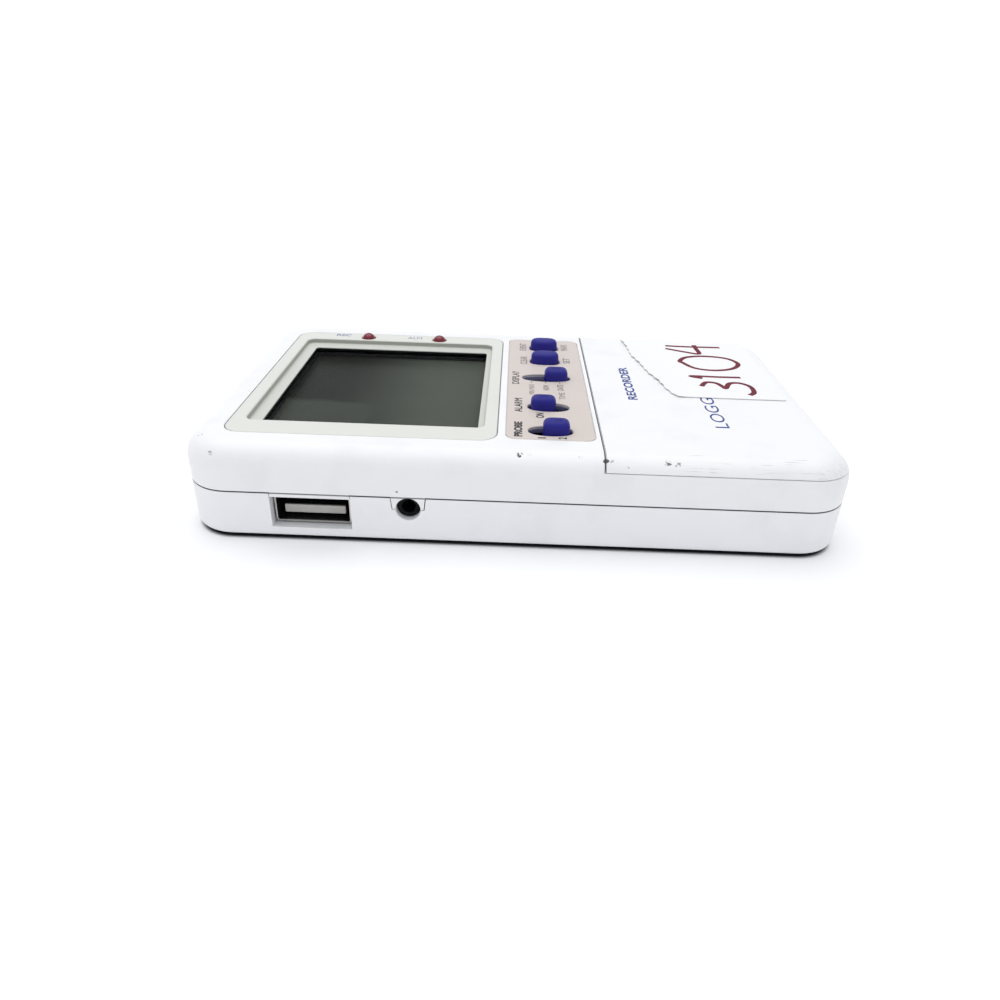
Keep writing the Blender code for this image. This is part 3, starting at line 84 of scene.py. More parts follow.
def mm(*lengths: float) -> tuple[float, ...]:
    """Millimetres as metres."""
    return tuple(length * MM for length in lengths)


class Body(Enum):
    """The bodies that pieces ride on."""

    CASE = "case"
    COVER = "cover"
    EVENT = "event_key"
    CLEAR = "clear_key"
    DISPLAY = "display_slider"
    ALARM = "alarm_slider"
    PROBE = "probe_slider"


class Slot(Enum):
    """The record's material slot names."""

    SHELL = "case_white"
    BEZEL = "bezel_grey_green"
    WINDOW = "window_clear"
    DISPLAY = "display_glass"
    BLACK = "black_plastic"
    OVERLAY = "overlay_beige"
    KEY = "key_blue"
    LAMP = "lamp_red"
    STEEL = "steel"
    TONGUE = "tongue_beige"
    SLEEVE = "cell_sleeve"
    FOOT = "foot_rubber"
    PAPER = "paper"


# Shader nodes as expressions


class Signal:
    """What a shader node puts out; its operators add Math nodes."""

    def __init__(self, shader: "Shader", socket: bpy.types.NodeSocket) -> None:
        """Wraps one output socket.

        Args:
            shader: The material that the node belongs to.
            socket: The output socket.
        """
        self.shader = shader
        self.socket = socket

    def maths(self, operation: str, *operands: "Signal | float") -> "Signal":
        """Adds a Math node.

        Args:
            operation: The node's operation.
            operands: Its inputs, in order.

        Returns:
            The node's value.
        """
        inputs = dict(enumerate(operands))
        return self.shader.node("ShaderNodeMath", {"operation": operation}, inputs)

    def __add__(self, other: "Signal | float") -> "Signal":
        """Sum."""
        return self.maths("ADD", self, other)

    def __radd__(self, other: float) -> "Signal":
        """Sum with a number on the left."""
        return self.maths("ADD", other, self)

    def __sub__(self, other: "Signal | float") -> "Signal":
        """Difference."""
        return self.maths("SUBTRACT", self, other)

    def __rsub__(self, other: float) -> "Signal":
        """Difference with a number on the left."""
        return self.maths("SUBTRACT", other, self)

    def __mul__(self, other: "Signal | float") -> "Signal":
        """Product."""
        return self.maths("MULTIPLY", self, other)

    def __rmul__(self, other: float) -> "Signal":
        """Product with a number on the left."""
        return self.maths("MULTIPLY", other, self)

    def __pow__(self, power: float) -> "Signal":
        """Power."""
        return self.maths("POWER", self, power)

    def __or__(self, other: "Signal") -> "Signal":
        """The larger of two masks."""
        return self.maths("MAXIMUM", self, other)

    def __abs__(self) -> "Signal":
        """The value without its sign."""
        return self.maths("ABSOLUTE", self)

    def at_least(self, floor: float) -> "Signal":
        """The value, or the floor where that is larger."""
        return self.maths("MAXIMUM", self, floor)

    def rise(self, start: float, end: float) -> "Signal":
        """A smooth step.

        Args:
            start: The value where the step is still 0.
            end: The value where it reaches 1; it may lie below start.

        Returns:
            A mask from 0 to 1.
        """
        flip = end < start
        inputs = {
            "Value": self,
            "From Min": min(start, end),
            "From Max": max(start, end),
            "To Min": float(flip),
            "To Max": float(not flip),
        }
        return self.shader.node("ShaderNodeMapRange", {"interpolation_type": "SMOOTHSTEP"}, inputs)

    def band(self, low: float, high: float, soft: float) -> "Signal":
        """A mask that is 1 between two values.

        Args:
            low: Where the band begins.
            high: Where it ends.
            soft: How far it fades outside.

        Returns:
            A mask from 0 to 1.
        """
        return self.rise(low - soft, low) * self.rise(high + soft, high)


class Shader:
    """One material under construction around its Principled shader."""

    def __init__(self, name: str) -> None:
        """Starts a material.

        Args:
            name: The material's name.
        """
        self.material = bpy.data.materials.new(name)
        self.material.use_nodes = True
        self.tree = self.material.node_tree
        self.surface = self.tree.nodes["Principled BSDF"]

    def node(
        self,
        kind: str,
        settings: dict | None = None,
        inputs: dict | None = None,
        output: int | str = 0,
    ) -> Signal:
        """Adds a node.

        Args:
            kind: The node's type.
            settings: Properties that are set first.
            inputs: Values or signals by socket name or number.
            output: Which output to return.

        Returns:
            The chosen output.
        """
        made = self.tree.nodes.new(kind)
        for name, value in (settings or {}).items():
            setattr(made, name, value)
        for name, value in (inputs or {}).items():
            self.feed(made.inputs[name], value)
        return Signal(self, made.outputs[output])

    def feed(self, socket: bpy.types.NodeSocket, value: "Signal | float | Sequence[float]") -> None:
        """Links a signal to a socket, or sets the socket's own value.

        Args:
            socket: The input socket.
            value: A signal, a number, a vector or a colour.
        """
        if isinstance(value, Signal):
            self.tree.links.new(value.socket, socket)
        elif socket.type == "RGBA":
            socket.default_value = (*value, 1.0)
        else:
            socket.default_value = value

    def wear(self, **inputs: "Signal | float | Sequence[float]") -> None:
        """Feeds the Principled shader; an underscore in a name stands for a space."""
        for name, value in inputs.items():
            self.feed(self.surface.inputs[name.replace("_", " ")], value)

    def spot(self) -> Signal:
        """The place on the object, in metres."""
        return self.node("ShaderNodeTexCoord", output="Object")

    def along(self, axis: int) -> Signal:
        """One coordinate of the place on the object."""
        return self.node("ShaderNodeSeparateXYZ", None, {0: self.spot()}, axis)

    def noise(self, size: float, detail: float = 2.0, stretch: Point = (1.0, 1.0, 1.0)) -> Signal:
        """Soft random blotches.

        Args:
            size: How wide a blotch is.
            detail: How many finer layers it has.
            stretch: How much longer a blotch is along each axis.

        Returns:
            Values about one half.
        """
        scale = tuple(1.0 / (size * part) for part in stretch)
        place = self.node("ShaderNodeMapping", None, {"Vector": self.spot(), "Scale": scale})
        inputs = {"Vector": place, "Scale": 1.0, "Detail": detail, "Roughness": 0.55}
        return self.node("ShaderNodeTexNoise", None, inputs)

    def near(self, place: Point, radius: float, ragged: float = 0.45) -> Signal:
        """A ragged round mark.

        Args:
            place: The middle of the mark.
            radius: Its radius.
            ragged: How much its edge wanders, as a share of the radius.

        Returns:
            A mask that is 1 in the mark.
        """
        inputs = {0: self.spot(), 1: place}
        away = self.node("ShaderNodeVectorMath", {"operation": "DISTANCE"}, inputs, "Value")
        edge = away + (self.noise(radius * 0.7, 3.0) - 0.5) * (2.0 * ragged * radius)
        return edge.rise(radius, radius * 0.75)

    def blend(
        self, share: "Signal | float", first: Signal | Colour, second: Signal | Colour
    ) -> Signal:
        """Mixes two colours.

        Args:
            share: 0 for the first colour, 1 for the second.
            first: A colour.
            second: Another colour.

        Returns:
            The mixed colour.
        """
        settings = {"data_type": "RGBA"}
        return self.node("ShaderNodeMix", settings, {0: share, 6: first, 7: second}, 2)

    def relief(self, height: Signal, depth: float, strength: float = 1.0) -> Signal:
        """A bumped normal.

        Args:
            height: The relief, from 0 to 1.
            depth: How deep a step from 1 to 0 is.
            strength: How much of it shows.

        Returns:
            The normal.
        """
        inputs = {"Height": height, "Distance": depth, "Strength": strength}
        return self.node("ShaderNodeBump", None, inputs)


# Finishes

GRIME: Colour = (0.045, 0.04, 0.04)
SCRATCH_GREY: Colour = (0.42, 0.40, 0.38)
GAP_SHADE: Colour = (0.06, 0.06, 0.065)
WALL_SHADE_OLIVE: Colour = (0.34, 0.345, 0.30)
UNLIT: Colour = (0.012, 0.012, 0.013)
DULLED = 0.86


@dataclass(frozen=True)
class Finish:
    """A named finish, made once and worn by any number of pieces."""

    name: str
    colour: Colour
    roughness: float = 0.5

    def paint(self, shader: Shader) -> None:
        """Builds the nodes.

        Args:
            shader: The material to build in.
        """
        raise NotImplementedError

    def material(self) -> bpy.types.Material:
        """The material, made on first use."""
        made = bpy.data.materials.get(self.name)
        if made is None:
            shader = Shader(self.name)
            self.paint(shader)
            made = shader.material
        return made

    def dress(self, *pieces: Piece) -> None:
        """Puts the finish on pieces.

        Args:
            pieces: The pieces that wear it.
        """
        for piece in pieces:
            piece.data.materials.clear()
            piece.data.materials.append(self.material())


class Chip(NamedTuple):
    """A group of dark nicks: its middle and radius, how dark it is, and where its noise is cut."""

    place: Point
    radius: float
    dark: float = 0.9
    spread: float = 0.5


class Seam(NamedTuple):
    """A painted shade line at a gap: the axis across it, its two sides, and its lowest height."""

    axis: int
    low: float
    high: float
    above: float = 0.0


@dataclass(frozen=True)
class MouldedPlastic(Finish):
    """Injection-moulded plastic with a fine spark texture, faint soiling, nicks, scratches and
    painted shade at its seams.

    Between the two heights of the wall band, upright faces get a painted olive shade, and the step
    below a little.
    """

    grain: float = 0.22 * MM
    grain_depth: float = 0.006 * MM
    soil: float = 0.04
    nicks: tuple[Chip, ...] = ()
    seams: tuple[Seam, ...] = ()
    wall_shade_band: Pair | None = None
    shine: float = 0.42
    scratched_edge: bool = False

    def paint(self, shader: Shader) -> None:
        """Builds the nodes.

        Args:
            shader: The material to build in.
        """
        dull = tuple(part * DULLED for part in self.colour)
        worn = shader.noise(9 * MM, 4.0).rise(0.45, 0.72) * (self.soil / 0.14)
        colour = shader.blend(worn, self.colour, dull)
        rough = self.roughness + (shader.noise(2.5 * MM) - 0.5) * 0.16
        height = shader.noise(self.grain, 1.0)
        if self.scratched_edge:
            scratch = self.scratches(shader)
            colour = shader.blend(scratch * 0.5, colour, SCRATCH_GREY)
            height = height - scratch * 2.0
        for nick in self.nicks:
            flakes = shader.noise(nick.radius * 0.9, 3.0).rise(nick.spread, nick.spread + 0.06)
            mark = shader.near(nick.place, nick.radius) * flakes
            colour = shader.blend(mark * nick.dark, colour, GRIME)
            height = height - mark * 6.0
        # Painted shade: each seam darkens a thin band of the surface at the gap between two parts.
        for seam in self.seams:
            gap_shade = shader.along(seam.axis).band(seam.low, seam.high, 0.04 * MM)
            gap_shade = gap_shade * shader.along(Z).rise(seam.above - 0.1 * MM, seam.above)
            colour = shader.blend(gap_shade * 0.85, colour, GAP_SHADE)
        # Painted shade: the surface between these heights turns olive, and the step just below them a
        # little.
        if self.wall_shade_band is not None:
            low, high = self.wall_shade_band
            wall = shader.along(Z).band(low, high, 0.12 * MM)
            step = shader.along(Z).rise(low - 0.04 * MM, low - 0.1 * MM)
            colour = shader.blend(wall * 0.85 | step * 0.25, colour, WALL_SHADE_OLIVE)
        normal = shader.relief(height, self.grain_depth)
        shader.wear(
            Base_Color=colour, Roughness=rough, Normal=normal, Specular_IOR_Level=self.shine
        )

    @staticmethod
    def scratches(shader: Shader) -> Signal:
        """Fine lines along the cover's near edge.

        Args:
            shader: The material to build in.

        Returns:
            A mask that is 1 in the lines.
        """
        lines = shader.noise(0.22 * MM, 2.0, (34.0, 1.0, 1.0)).rise(0.60, 0.66)
        region = (
            shader.along(X).band(31 * MM, 55 * MM, 5 * MM)
            * shader.along(Y).band(-34.4 * MM, -31.2 * MM, 0.8 * MM)
            * shader.noise(5 * MM, 2.0).rise(0.42, 0.55)
        )
        return lines * region


@dataclass(frozen=True)
class PrintedInk(Finish):
    """Screen-printed ink with a slightly broken edge."""

    def paint(self, shader: Shader) -> None:
        """Builds the nodes.

        Args:
            shader: The material to build in.
        """
        thin = tuple(min(1.0, part * 1.7 + 0.012) for part in self.colour)
        gaps = shader.noise(0.25 * MM, 3.0).rise(0.52, 0.75)
        colour = shader.blend(gaps * 0.5, self.colour, thin)
        shader.wear(Base_Color=colour, Roughness=self.roughness)


@dataclass(frozen=True)
class OverlayFilm(Finish):
    """Printed polyester film with a fine velvet texture."""

    def paint(self, shader: Shader) -> None:
        """Builds the nodes.

        Args:
            shader: The material to build in.
        """
        deeper = tuple(part * 0.93 for part in self.colour)
        colour = shader.blend(shader.noise(7 * MM, 3.0), self.colour, deeper)
        rough = self.roughness + (shader.noise(1.8 * MM) - 0.5) * 0.12
        normal = shader.relief(shader.noise(0.12 * MM, 1.0), 0.003 * MM)
        shader.wear(Base_Color=colour, Roughness=rough, Normal=normal)


@dataclass(frozen=True)
class ClearPane(Finish):
    """Clear acrylic: it lets light through and mirrors more at a low angle, with dust specks."""

    straight_on: float = 0.002
    grazing: float = 0.03

    def paint(self, shader: Shader) -> None:
        """Builds the nodes.

        Args:
            shader: The material to build in.
        """
        facing = shader.node("ShaderNodeLayerWeight", None, {"Blend": 0.5}, "Facing")
        mirrored = facing**4.0 * self.grazing + self.straight_on
        see_through = shader.node("ShaderNodeBsdfTransparent", None, {"Color": self.colour})
        specks = shader.noise(0.35 * MM, 1.0).rise(0.82, 0.86)
        gloss = shader.node("ShaderNodeBsdfGlossy", None, {"Roughness": self.roughness})
        inputs = {0: mirrored + specks * 0.3, 1: see_through, 2: gloss}
        both = shader.node("ShaderNodeMixShader", None, inputs)
        shader.feed(shader.tree.nodes["Material Output"].inputs["Surface"], both)


@dataclass(frozen=True)
class DisplayFilm(Finish):
    """A display cell at rest under its polariser: dark, with a painted reflection that makes it paler
    towards one end and in a cloudy spot.
    """

    dark: Colour = (0.0155, 0.0145, 0.013)

    def paint(self, shader: Shader) -> None:
        """Builds the nodes.

        Args:
            shader: The material to build in.
        """
        # Painted reflection: the dark colour blends into the paler one towards the right end and in a
        # spot at the near left.
        x, y = shader.along(X), shader.along(Y)
        drift = (shader.noise(7 * MM, 2.0) - 0.5) * (4 * MM)
        right = (x + drift).rise(-38 * MM, -15 * MM)
        patch = (y + drift).rise(-4.5 * MM, -7.5 * MM) * (x + drift).rise(-25 * MM, -29 * MM)
        share = (right * 0.9 | patch * 0.5) * (0.95 + (shader.noise(9 * MM) - 0.5) * 0.3)
        shader.wear(
            Base_Color=shader.blend(share, self.dark, self.colour),
            Roughness=self.roughness,
            Specular_IOR_Level=0.06,
        )


@dataclass(frozen=True)
class Steel(Finish):
    """Plated sheet or turned steel with faint drawing lines; deeper in on Y it gets painted shade,
    dark and not metallic.
    """

    metallic: float = 1.0
    lines: Point = (1.0, 1.0, 12.0)
    painted_shade_from: float | None = None

    def paint(self, shader: Shader) -> None:
        """Builds the nodes.

        Args:
            shader: The material to build in.
        """
        streak = shader.noise(0.12 * MM, 2.0, self.lines)
        darker = tuple(part * 0.72 for part in self.colour)
        colour: Signal | Colour = shader.blend(streak, self.colour, darker)
        rough = self.roughness + (streak - 0.5) * 0.2
        metal: Signal | float = self.metallic
        # Painted shade: past this place on Y the steel turns dark and stops being metallic.
        if self.painted_shade_from is not None:
            inside = shader.along(Y).rise(self.painted_shade_from, self.painted_shade_from + 0.1 * MM)
            colour = shader.blend(inside, colour, UNLIT)
            metal = 1.0 - inside
        shader.wear(Base_Color=colour, Metallic=metal, Roughness=rough)


@dataclass(frozen=True)
class Resin(Finish):
    """Glossy tinted resin, as on a signal lamp or a socket body."""

    coat: float = 0.0
    shine: float = 0.5

    def paint(self, shader: Shader) -> None:
        """Builds the nodes.

        Args:
            shader: The material to build in.
        """
        pale = tuple(min(1.0, part * 1.5) for part in self.colour)
        cloud = shader.noise(0.8 * MM, 2.0)
        colour = shader.blend(cloud * 0.6, self.colour, pale)
        shader.wear(
            Base_Color=colour,
            Roughness=self.roughness + (cloud - 0.5) * 0.06,
            Coat_Weight=self.coat,
            Specular_IOR_Level=self.shine,
        )


@dataclass(frozen=True)
class TongueResin(Finish):
    """Pale resin with a smeared tone at its front end, and painted shade that makes it near black
    deeper in the socket.
    """

    front: float = -31.95 * MM
    shade_colour: Colour = (0.012, 0.012, 0.012)

    def paint(self, shader: Shader) -> None:
        """Builds the nodes.

        Args:
            shader: The material to build in.
        """
        # Painted shade: behind the front end the resin blends into a near-black colour.
        deep = shader.along(Y).rise(self.front, self.front + 0.5 * MM)
        smear = shader.noise(1.1 * MM, 3.0)
        duller = tuple(part * 0.8 for part in self.colour)
        resin_tone = shader.blend(smear, self.colour, duller)
        shader.wear(
            Base_Color=shader.blend(deep, resin_tone, self.shade_colour),
            Roughness=self.roughness + (smear - 0.5) * 0.1,
            Specular_IOR_Level=0.25,
        )


@dataclass(frozen=True)
class Rubber(Finish):
    """Matt rubber with dust in it."""

    def paint(self, shader: Shader) -> None:
        """Builds the nodes.

        Args:
            shader: The material to build in.
        """
        dusty = tuple(part + 0.06 for part in self.colour)
        dust = shader.noise(0.4 * MM, 4.0).rise(0.5, 0.75)
        normal = shader.relief(shader.noise(0.15 * MM), 0.01 * MM)
        shader.wear(
            Base_Color=shader.blend(dust, self.colour, dusty),
            Roughness=self.roughness,
            Normal=normal,
        )


@dataclass(frozen=True)
class PaperStock(Finish):
    """Uncoated label paper with fibres and soft creases."""

    def paint(self, shader: Shader) -> None:
        """Builds the nodes.

        Args:
            shader: The material to build in.
        """
        fibre = shader.noise(0.10 * MM, 3.0, (4.0, 1.0, 1.0))
        crease = shader.noise(6 * MM, 3.0)
        grey = tuple(part * 0.93 for part in self.colour)
        height = fibre * 0.15 + crease
        shader.wear(
            Base_Color=shader.blend(fibre * 0.5, self.colour, grey),
            Roughness=self.roughness,
            Normal=shader.relief(height, 0.05 * MM, 0.6),
        )


@dataclass(frozen=True)
class Sleeve(Finish):
    """A cell's printed sleeve, with a golden band towards each end."""

    band: Colour = (0.55, 0.42, 0.12)
    band_from: float = 9 * MM
    band_to: float = 15 * MM

    def paint(self, shader: Shader) -> None:
        """Builds the nodes.

        Args:
            shader: The material to build in.
        """
        bands = abs(shader.along(Y)).band(self.band_from, self.band_to, 0.1 * MM)
        wrinkle = shader.relief(shader.noise(1.5 * MM, 2.0, (1.0, 6.0, 1.0)), 0.02 * MM)
        shader.wear(
            Base_Color=shader.blend(bands, self.colour, self.band),
            Roughness=self.roughness,
            Normal=wrinkle,
        )


@dataclass(frozen=True)
class BoardLacquer(Finish):
    """Solder mask over copper tracks."""

    def paint(self, shader: Shader) -> None:
        """Builds the nodes.

        Args:
            shader: The material to build in.
        """
        settings = {"feature": "DISTANCE_TO_EDGE"}
        inputs = {"Vector": shader.spot(), "Scale": 1.0 / (2.4 * MM), "Randomness": 0.35}
        tracks = shader.node("ShaderNodeTexVoronoi", settings, inputs, "Distance").rise(0.10, 0.04)
        light = tuple(part * 1.7 for part in self.colour)
        shader.wear(
            Base_Color=shader.blend(tracks, self.colour, light),
            Roughness=self.roughness,
            Normal=shader.relief(tracks, 0.03 * MM),
        )


# Modelling


class Box(NamedTuple):
    """An upright box by its lowest and highest corners."""

    low: Point
    high: Point

    @classmethod
    def of(cls, node: str) -> "Box":
        """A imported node's box."""
        low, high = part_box(node)
        return cls(tuple(low), tuple(high))

    @classmethod
    def about(cls, centre: Pair, size: Pair, low: float, high: float) -> "Box":
        """A box from its middle and size in plan, and its heights.

        Args:
            centre: Its middle on X and Y.
            size: Its size along X and Y.
            low: Its lowest height.
            high: Its highest height.

        Returns:
            The box.
        """
        lows = tuple(middle - reach / 2 for middle, reach in zip(centre, size))
        highs = tuple(middle + reach / 2 for middle, reach in zip(centre, size))
        return cls((*lows, low), (*highs, high))

    @property
    def centre(self) -> Point:
        """Its middle."""
        return tuple((a + b) / 2 for a, b in zip(self.low, self.high))

    @property
    def size(self) -> Point:
        """Its size along each axis."""
        return tuple(b - a for a, b in zip(self.low, self.high))

    def grown(self, reach: float) -> "Box":
        """The box grown in plan.

        Args:
            reach: How far each side moves out.

        Returns:
            The grown box.
        """
        (left, near, low), (right, far, high) = self
        return Box((left - reach, near - reach, low), (right + reach, far + reach, high))

    def cut_to(self, axis: int, low: float | None = None, high: float | None = None) -> "Box":
        """The box with new ends along one axis.

        Args:
            axis: The axis.
            low: Its new lower end, or None to keep it.
            high: Its new upper end, or None to keep it.

        Returns:
            The new box.
        """
        ends = [list(self.low), list(self.high)]
        for end, value in zip(ends, (low, high)):
            end[axis] = end[axis] if value is None else value
        return Box(tuple(ends[0]), tuple(ends[1]))


def span(left: float, right: float, near: float, far: float, low: float, high: float) -> Box:
    """A box from its six faces."""
    return Box((left, near, low), (right, far, high))


def clear_selection() -> None:
    """Deselects everything."""
    bpy.ops.object.select_all(action="DESELECT")


def choose(piece: Piece) -> None:
    """Makes a piece the only selected one and the active one."""
    clear_selection()
    piece.select_set(True)
    bpy.context.view_layer.objects.active = piece


def newly_made(name: str) -> Piece:
    """Names the object that was just added and puts its place into its mesh.

    Args:
        name: Its name.

    Returns:
        The object.
    """
    piece = bpy.context.object
    piece.name = name
    piece.data.name = name
    settle(piece)
    return piece


def settle(piece: Piece) -> None:
    """Applies a piece's own place, turn and scale to its mesh."""
    choose(piece)
    bpy.ops.object.transform_apply(location=True, rotation=True, scale=True)


@contextmanager
def editing(piece: Piece) -> Iterator[None]:
    """Opens a piece in edit mode with nothing selected."""
    choose(piece)
    bpy.ops.object.mode_set(mode="EDIT")
    bpy.ops.mesh.select_all(action="DESELECT")
    yield
    bpy.ops.object.mode_set(mode="OBJECT")


def pick(piece: Piece, kind: str, wanted: Wanted) -> None:
    """Selects parts of a mesh that is open in edit mode.

    Args:
        piece: The piece.
        kind: VERT, EDGE or FACE.
        wanted: Says whether a part is to be selected.
    """
    bpy.ops.mesh.select_mode(type=kind)
    bpy.ops.mesh.select_all(action="DESELECT")
    shape = bmesh.from_edit_mesh(piece.data)
    parts = {"VERT": shape.verts, "EDGE": shape.edges, "FACE": shape.faces}[kind]
    for part in parts:
        if wanted(part):
            part.select_set(True)
    bmesh.update_edit_mesh(piece.data)


def lies_at(axis: int, value: float) -> Wanted:
    """A test for edges and faces whose corners all have one coordinate.

    Args:
        axis: The axis of that coordinate.
        value: The coordinate.

    Returns:
        The test.
    """
    return lambda part: all(abs(v.co[axis] - value) < SAME_PLACE for v in part.verts)


def runs_along(axis: int) -> Wanted:
    """A test for edges along one axis."""

    def test(edge: bmesh.types.BMEdge) -> bool:
        """Says whether the edge's ends differ on that axis only."""
        step = edge.verts[0].co - edge.verts[1].co
        return all(abs(step[other]) < SAME_PLACE for other in (X, Y, Z) if other != axis)

    return test


def faces_out(edge: bmesh.types.BMEdge, middle: Point) -> bool:
    """Says whether both faces at an edge look away from the middle."""
    ends = edge.verts
    out = (ends[0].co + ends[1].co) / 2 - Vector(middle)
    return all(face.normal.dot(out) > 0 for face in edge.link_faces)


def bevel_edges(piece: Piece, radius: float, steps: int, wanted: Wanted) -> None:
    """Rounds some edges of a piece.

    Args:
        piece: The piece.
        radius: The rounding's radius.
        steps: How many facets it has.
        wanted: Says which edges.
    """
    with editing(piece):
        pick(piece, "EDGE", wanted)
        bpy.ops.mesh.bevel(offset=radius, segments=steps, affect="EDGES", clamp_overlap=False)


def cuboid(name: str, box: Box) -> Piece:
    """A sharp block, to be shaped further or to cut with."""
    clear_selection()
    bpy.ops.mesh.primitive_cube_add(size=1.0, location=box.centre, scale=box.size)
    return newly_made(name)


def block(name: str, box: Box, corner: float, steps: int = 8, axis: int = Z) -> Piece:
    """A block with rounded corners.

    Args:
        name: Its name.
        box: Its place and size.
        corner: The corners' radius.
        steps: Facets in each corner.
        axis: The axis that the rounded corners run along.

    Returns:
        The block.
    """
    piece = cuboid(name, box)
    bevel_edges(piece, corner, steps, runs_along(axis))
    return piece


def tapered(name: str, box: Box, corner: float, narrower: float, steps: int = 8) -> Piece:
    """A rounded block whose lower face is smaller.

    Args:
        name: Its name.
        box: Its place and size at the top.
        corner: The corners' radius.
        narrower: How far each side comes in at the bottom.
        steps: Facets in each corner.

    Returns:
        The block.
    """
    piece = block(name, box, corner, steps)
    length, width, _ = box.size
    factors = (1 - 2 * narrower / length, 1 - 2 * narrower / width, 1.0)
    with editing(piece):
        pick(piece, "VERT", lambda v: abs(v.co.z - box.low[Z]) < SAME_PLACE)
        bpy.ops.transform.resize(value=factors, center_override=box.centre)
    return piece


def turned(
    name: str,
    sections: Sequence[Pair],
    place: Point = (0.0, 0.0, 0.0),
    turn: Point = UPRIGHT,
    sides: int = 40,
) -> Piece:
    """A round solid: a disc that is extruded and resized from section to section.

    Args:
        name: Its name.
        sections: Each section's radius and its distance along the axis.
        place: Where the axis starts.
        turn: How the axis is turned from Z.
        sides: Its facets around.

    Returns:
        The solid.
    """
    radius, height = sections[0]
    clear_selection()
    bpy.ops.mesh.primitive_circle_add(
        vertices=sides, radius=radius, fill_type="NGON", location=(0.0, 0.0, height)
    )
    piece = newly_made(name)
    with editing(piece):
        bpy.ops.mesh.select_all(action="SELECT")
        for next_radius, next_height in sections[1:]:
            step = (0.0, 0.0, next_height - height)
            bpy.ops.mesh.extrude_region_move(TRANSFORM_OT_translate={"value": step})
            share = next_radius / radius
            middle = (0.0, 0.0, next_height)
            bpy.ops.transform.resize(value=(share, share, 1.0), center_override=middle)
            radius, height = next_radius, next_height
        bpy.ops.mesh.select_all(action="SELECT")
        bpy.ops.mesh.normals_make_consistent(inside=False)
    piece.location = place
    piece.rotation_euler = turn
    settle(piece)
    return piece


def quarter(
    radius: float, height: float, reach: float, steps: int, rising: bool = True
) -> list[Pair]:
    """Sections of a quarter-round edge.

    Args:
        radius: The solid's radius before the edge.
        height: Where the edge begins.
        reach: The edge's radius.
        steps: Its facets.
        rising: True when the solid narrows along its axis, False when it widens.

    Returns:
        Radius and distance of each section.
    """
    points = []
    for step in range(steps + 1):
        angle = math.pi / 2 * (step if rising else steps - step) / steps
        away = reach * math.sin(angle)
        points.append(
            (radius - reach * (1 - math.cos(angle)), height + (away if rising else reach - away))
        )
    return points


def rod(name: str, radius: float, start: Point, length: float) -> Piece:
    """A plain upright bar, to cut with or to join to a piece."""
    return turned(name, [(radius, 0.0), (radius, length)], start)


def combine(piece: Piece, operation: str, others: Iterable[Piece]) -> None:
    """Applies Boolean modifiers and removes the other solids.

    Args:
        piece: The piece that is changed.
        operation: UNION or DIFFERENCE.
        others: The solids that it is combined with.
    """
    for other in others:
        choose(piece)
        modifier = piece.modifiers.new(operation.lower(), "BOOLEAN")
        modifier.operation = operation
        modifier.solver = "EXACT"
        modifier.object = other
        bpy.ops.object.modifier_apply(modifier=modifier.name)
        bpy.data.meshes.remove(other.data)


def carve(piece: Piece, *others: Piece) -> None:
    """Cuts solids out of a piece."""
    combine(piece, "DIFFERENCE", others)


def weld(piece: Piece, *others: Piece) -> None:
    """Joins solids to a piece as one shell."""
    combine(piece, "UNION", others)


def gather(name: str, pieces: Sequence[Piece]) -> Piece:
    """Makes one object of several, without changing their shapes.

    Args:
        name: The object's name.
        pieces: What it is made of.

    Returns:
        The object.
    """
    choose(pieces[0])
    for piece in pieces:
        piece.select_set(True)
    bpy.ops.object.join()
    pieces[0].name = name
    pieces[0].data.name = name
    return pieces[0]


def mouth(name: str, box: Box, corner: float, flare: float, steps: int = 8) -> Piece:
    """A cutter through a top face that leaves a small chamfer round the hole.

    Args:
        name: Its name.
        box: The hole; its top is the face that it is cut through.
        corner: The hole's corner radius.
        flare: The chamfer's width.
        steps: Facets in each corner.

    Returns:
        The cutter.
    """
    piece = block(name, box.cut_to(Z, high=box.high[Z] - flare), corner, steps)
    length, width, _ = box.size
    factors = (1 + 4 * flare / length, 1 + 4 * flare / width, 1.0)
    with editing(piece):
        pick(piece, "FACE", lies_at(Z, box.high[Z] - flare))
        step = (0.0, 0.0, 2 * flare)
        bpy.ops.mesh.extrude_region_move(TRANSFORM_OT_translate={"value": step})
        bpy.ops.transform.resize(value=factors, center_override=box.centre)
    return piece


def round_mouth(
    name: str,
    radius: float,
    place: Point,
    depth: float,
    flare: float,
    turn: Point = UPRIGHT,
) -> Piece:
    """A round cutter that leaves a small chamfer.

    Args:
        name: Its name.
        radius: The hole's radius.
        place: The middle of the hole, in the face that it is cut through.
        depth: The hole's depth behind that face.
        flare: The chamfer's width.
        turn: How the outward direction is turned from Z.

    Returns:
        The cutter.
    """
    sections = [(radius, -depth), (radius, -flare), (radius + 2 * flare, flare)]
    return turned(name, sections, place, turn)


def smooth(piece: Piece, angle: float = SMOOTH_ANGLE) -> None:
    """Merges doubled corners and smooths the shading, with flat faces kept flat.

    Args:
        piece: The piece.
        angle: The sharpest edge that is still smoothed.
    """
    with editing(piece):
        bpy.ops.mesh.select_all(action="SELECT")
        bpy.ops.mesh.remove_doubles(threshold=SAME_PLACE)
    bpy.ops.object.shade_smooth_by_angle(angle=angle)
    modifier = piece.modifiers.new("even_normals", "WEIGHTED_NORMAL")
    modifier.keep_sharp = True
    bpy.ops.object.modifier_apply(modifier=modifier.name)


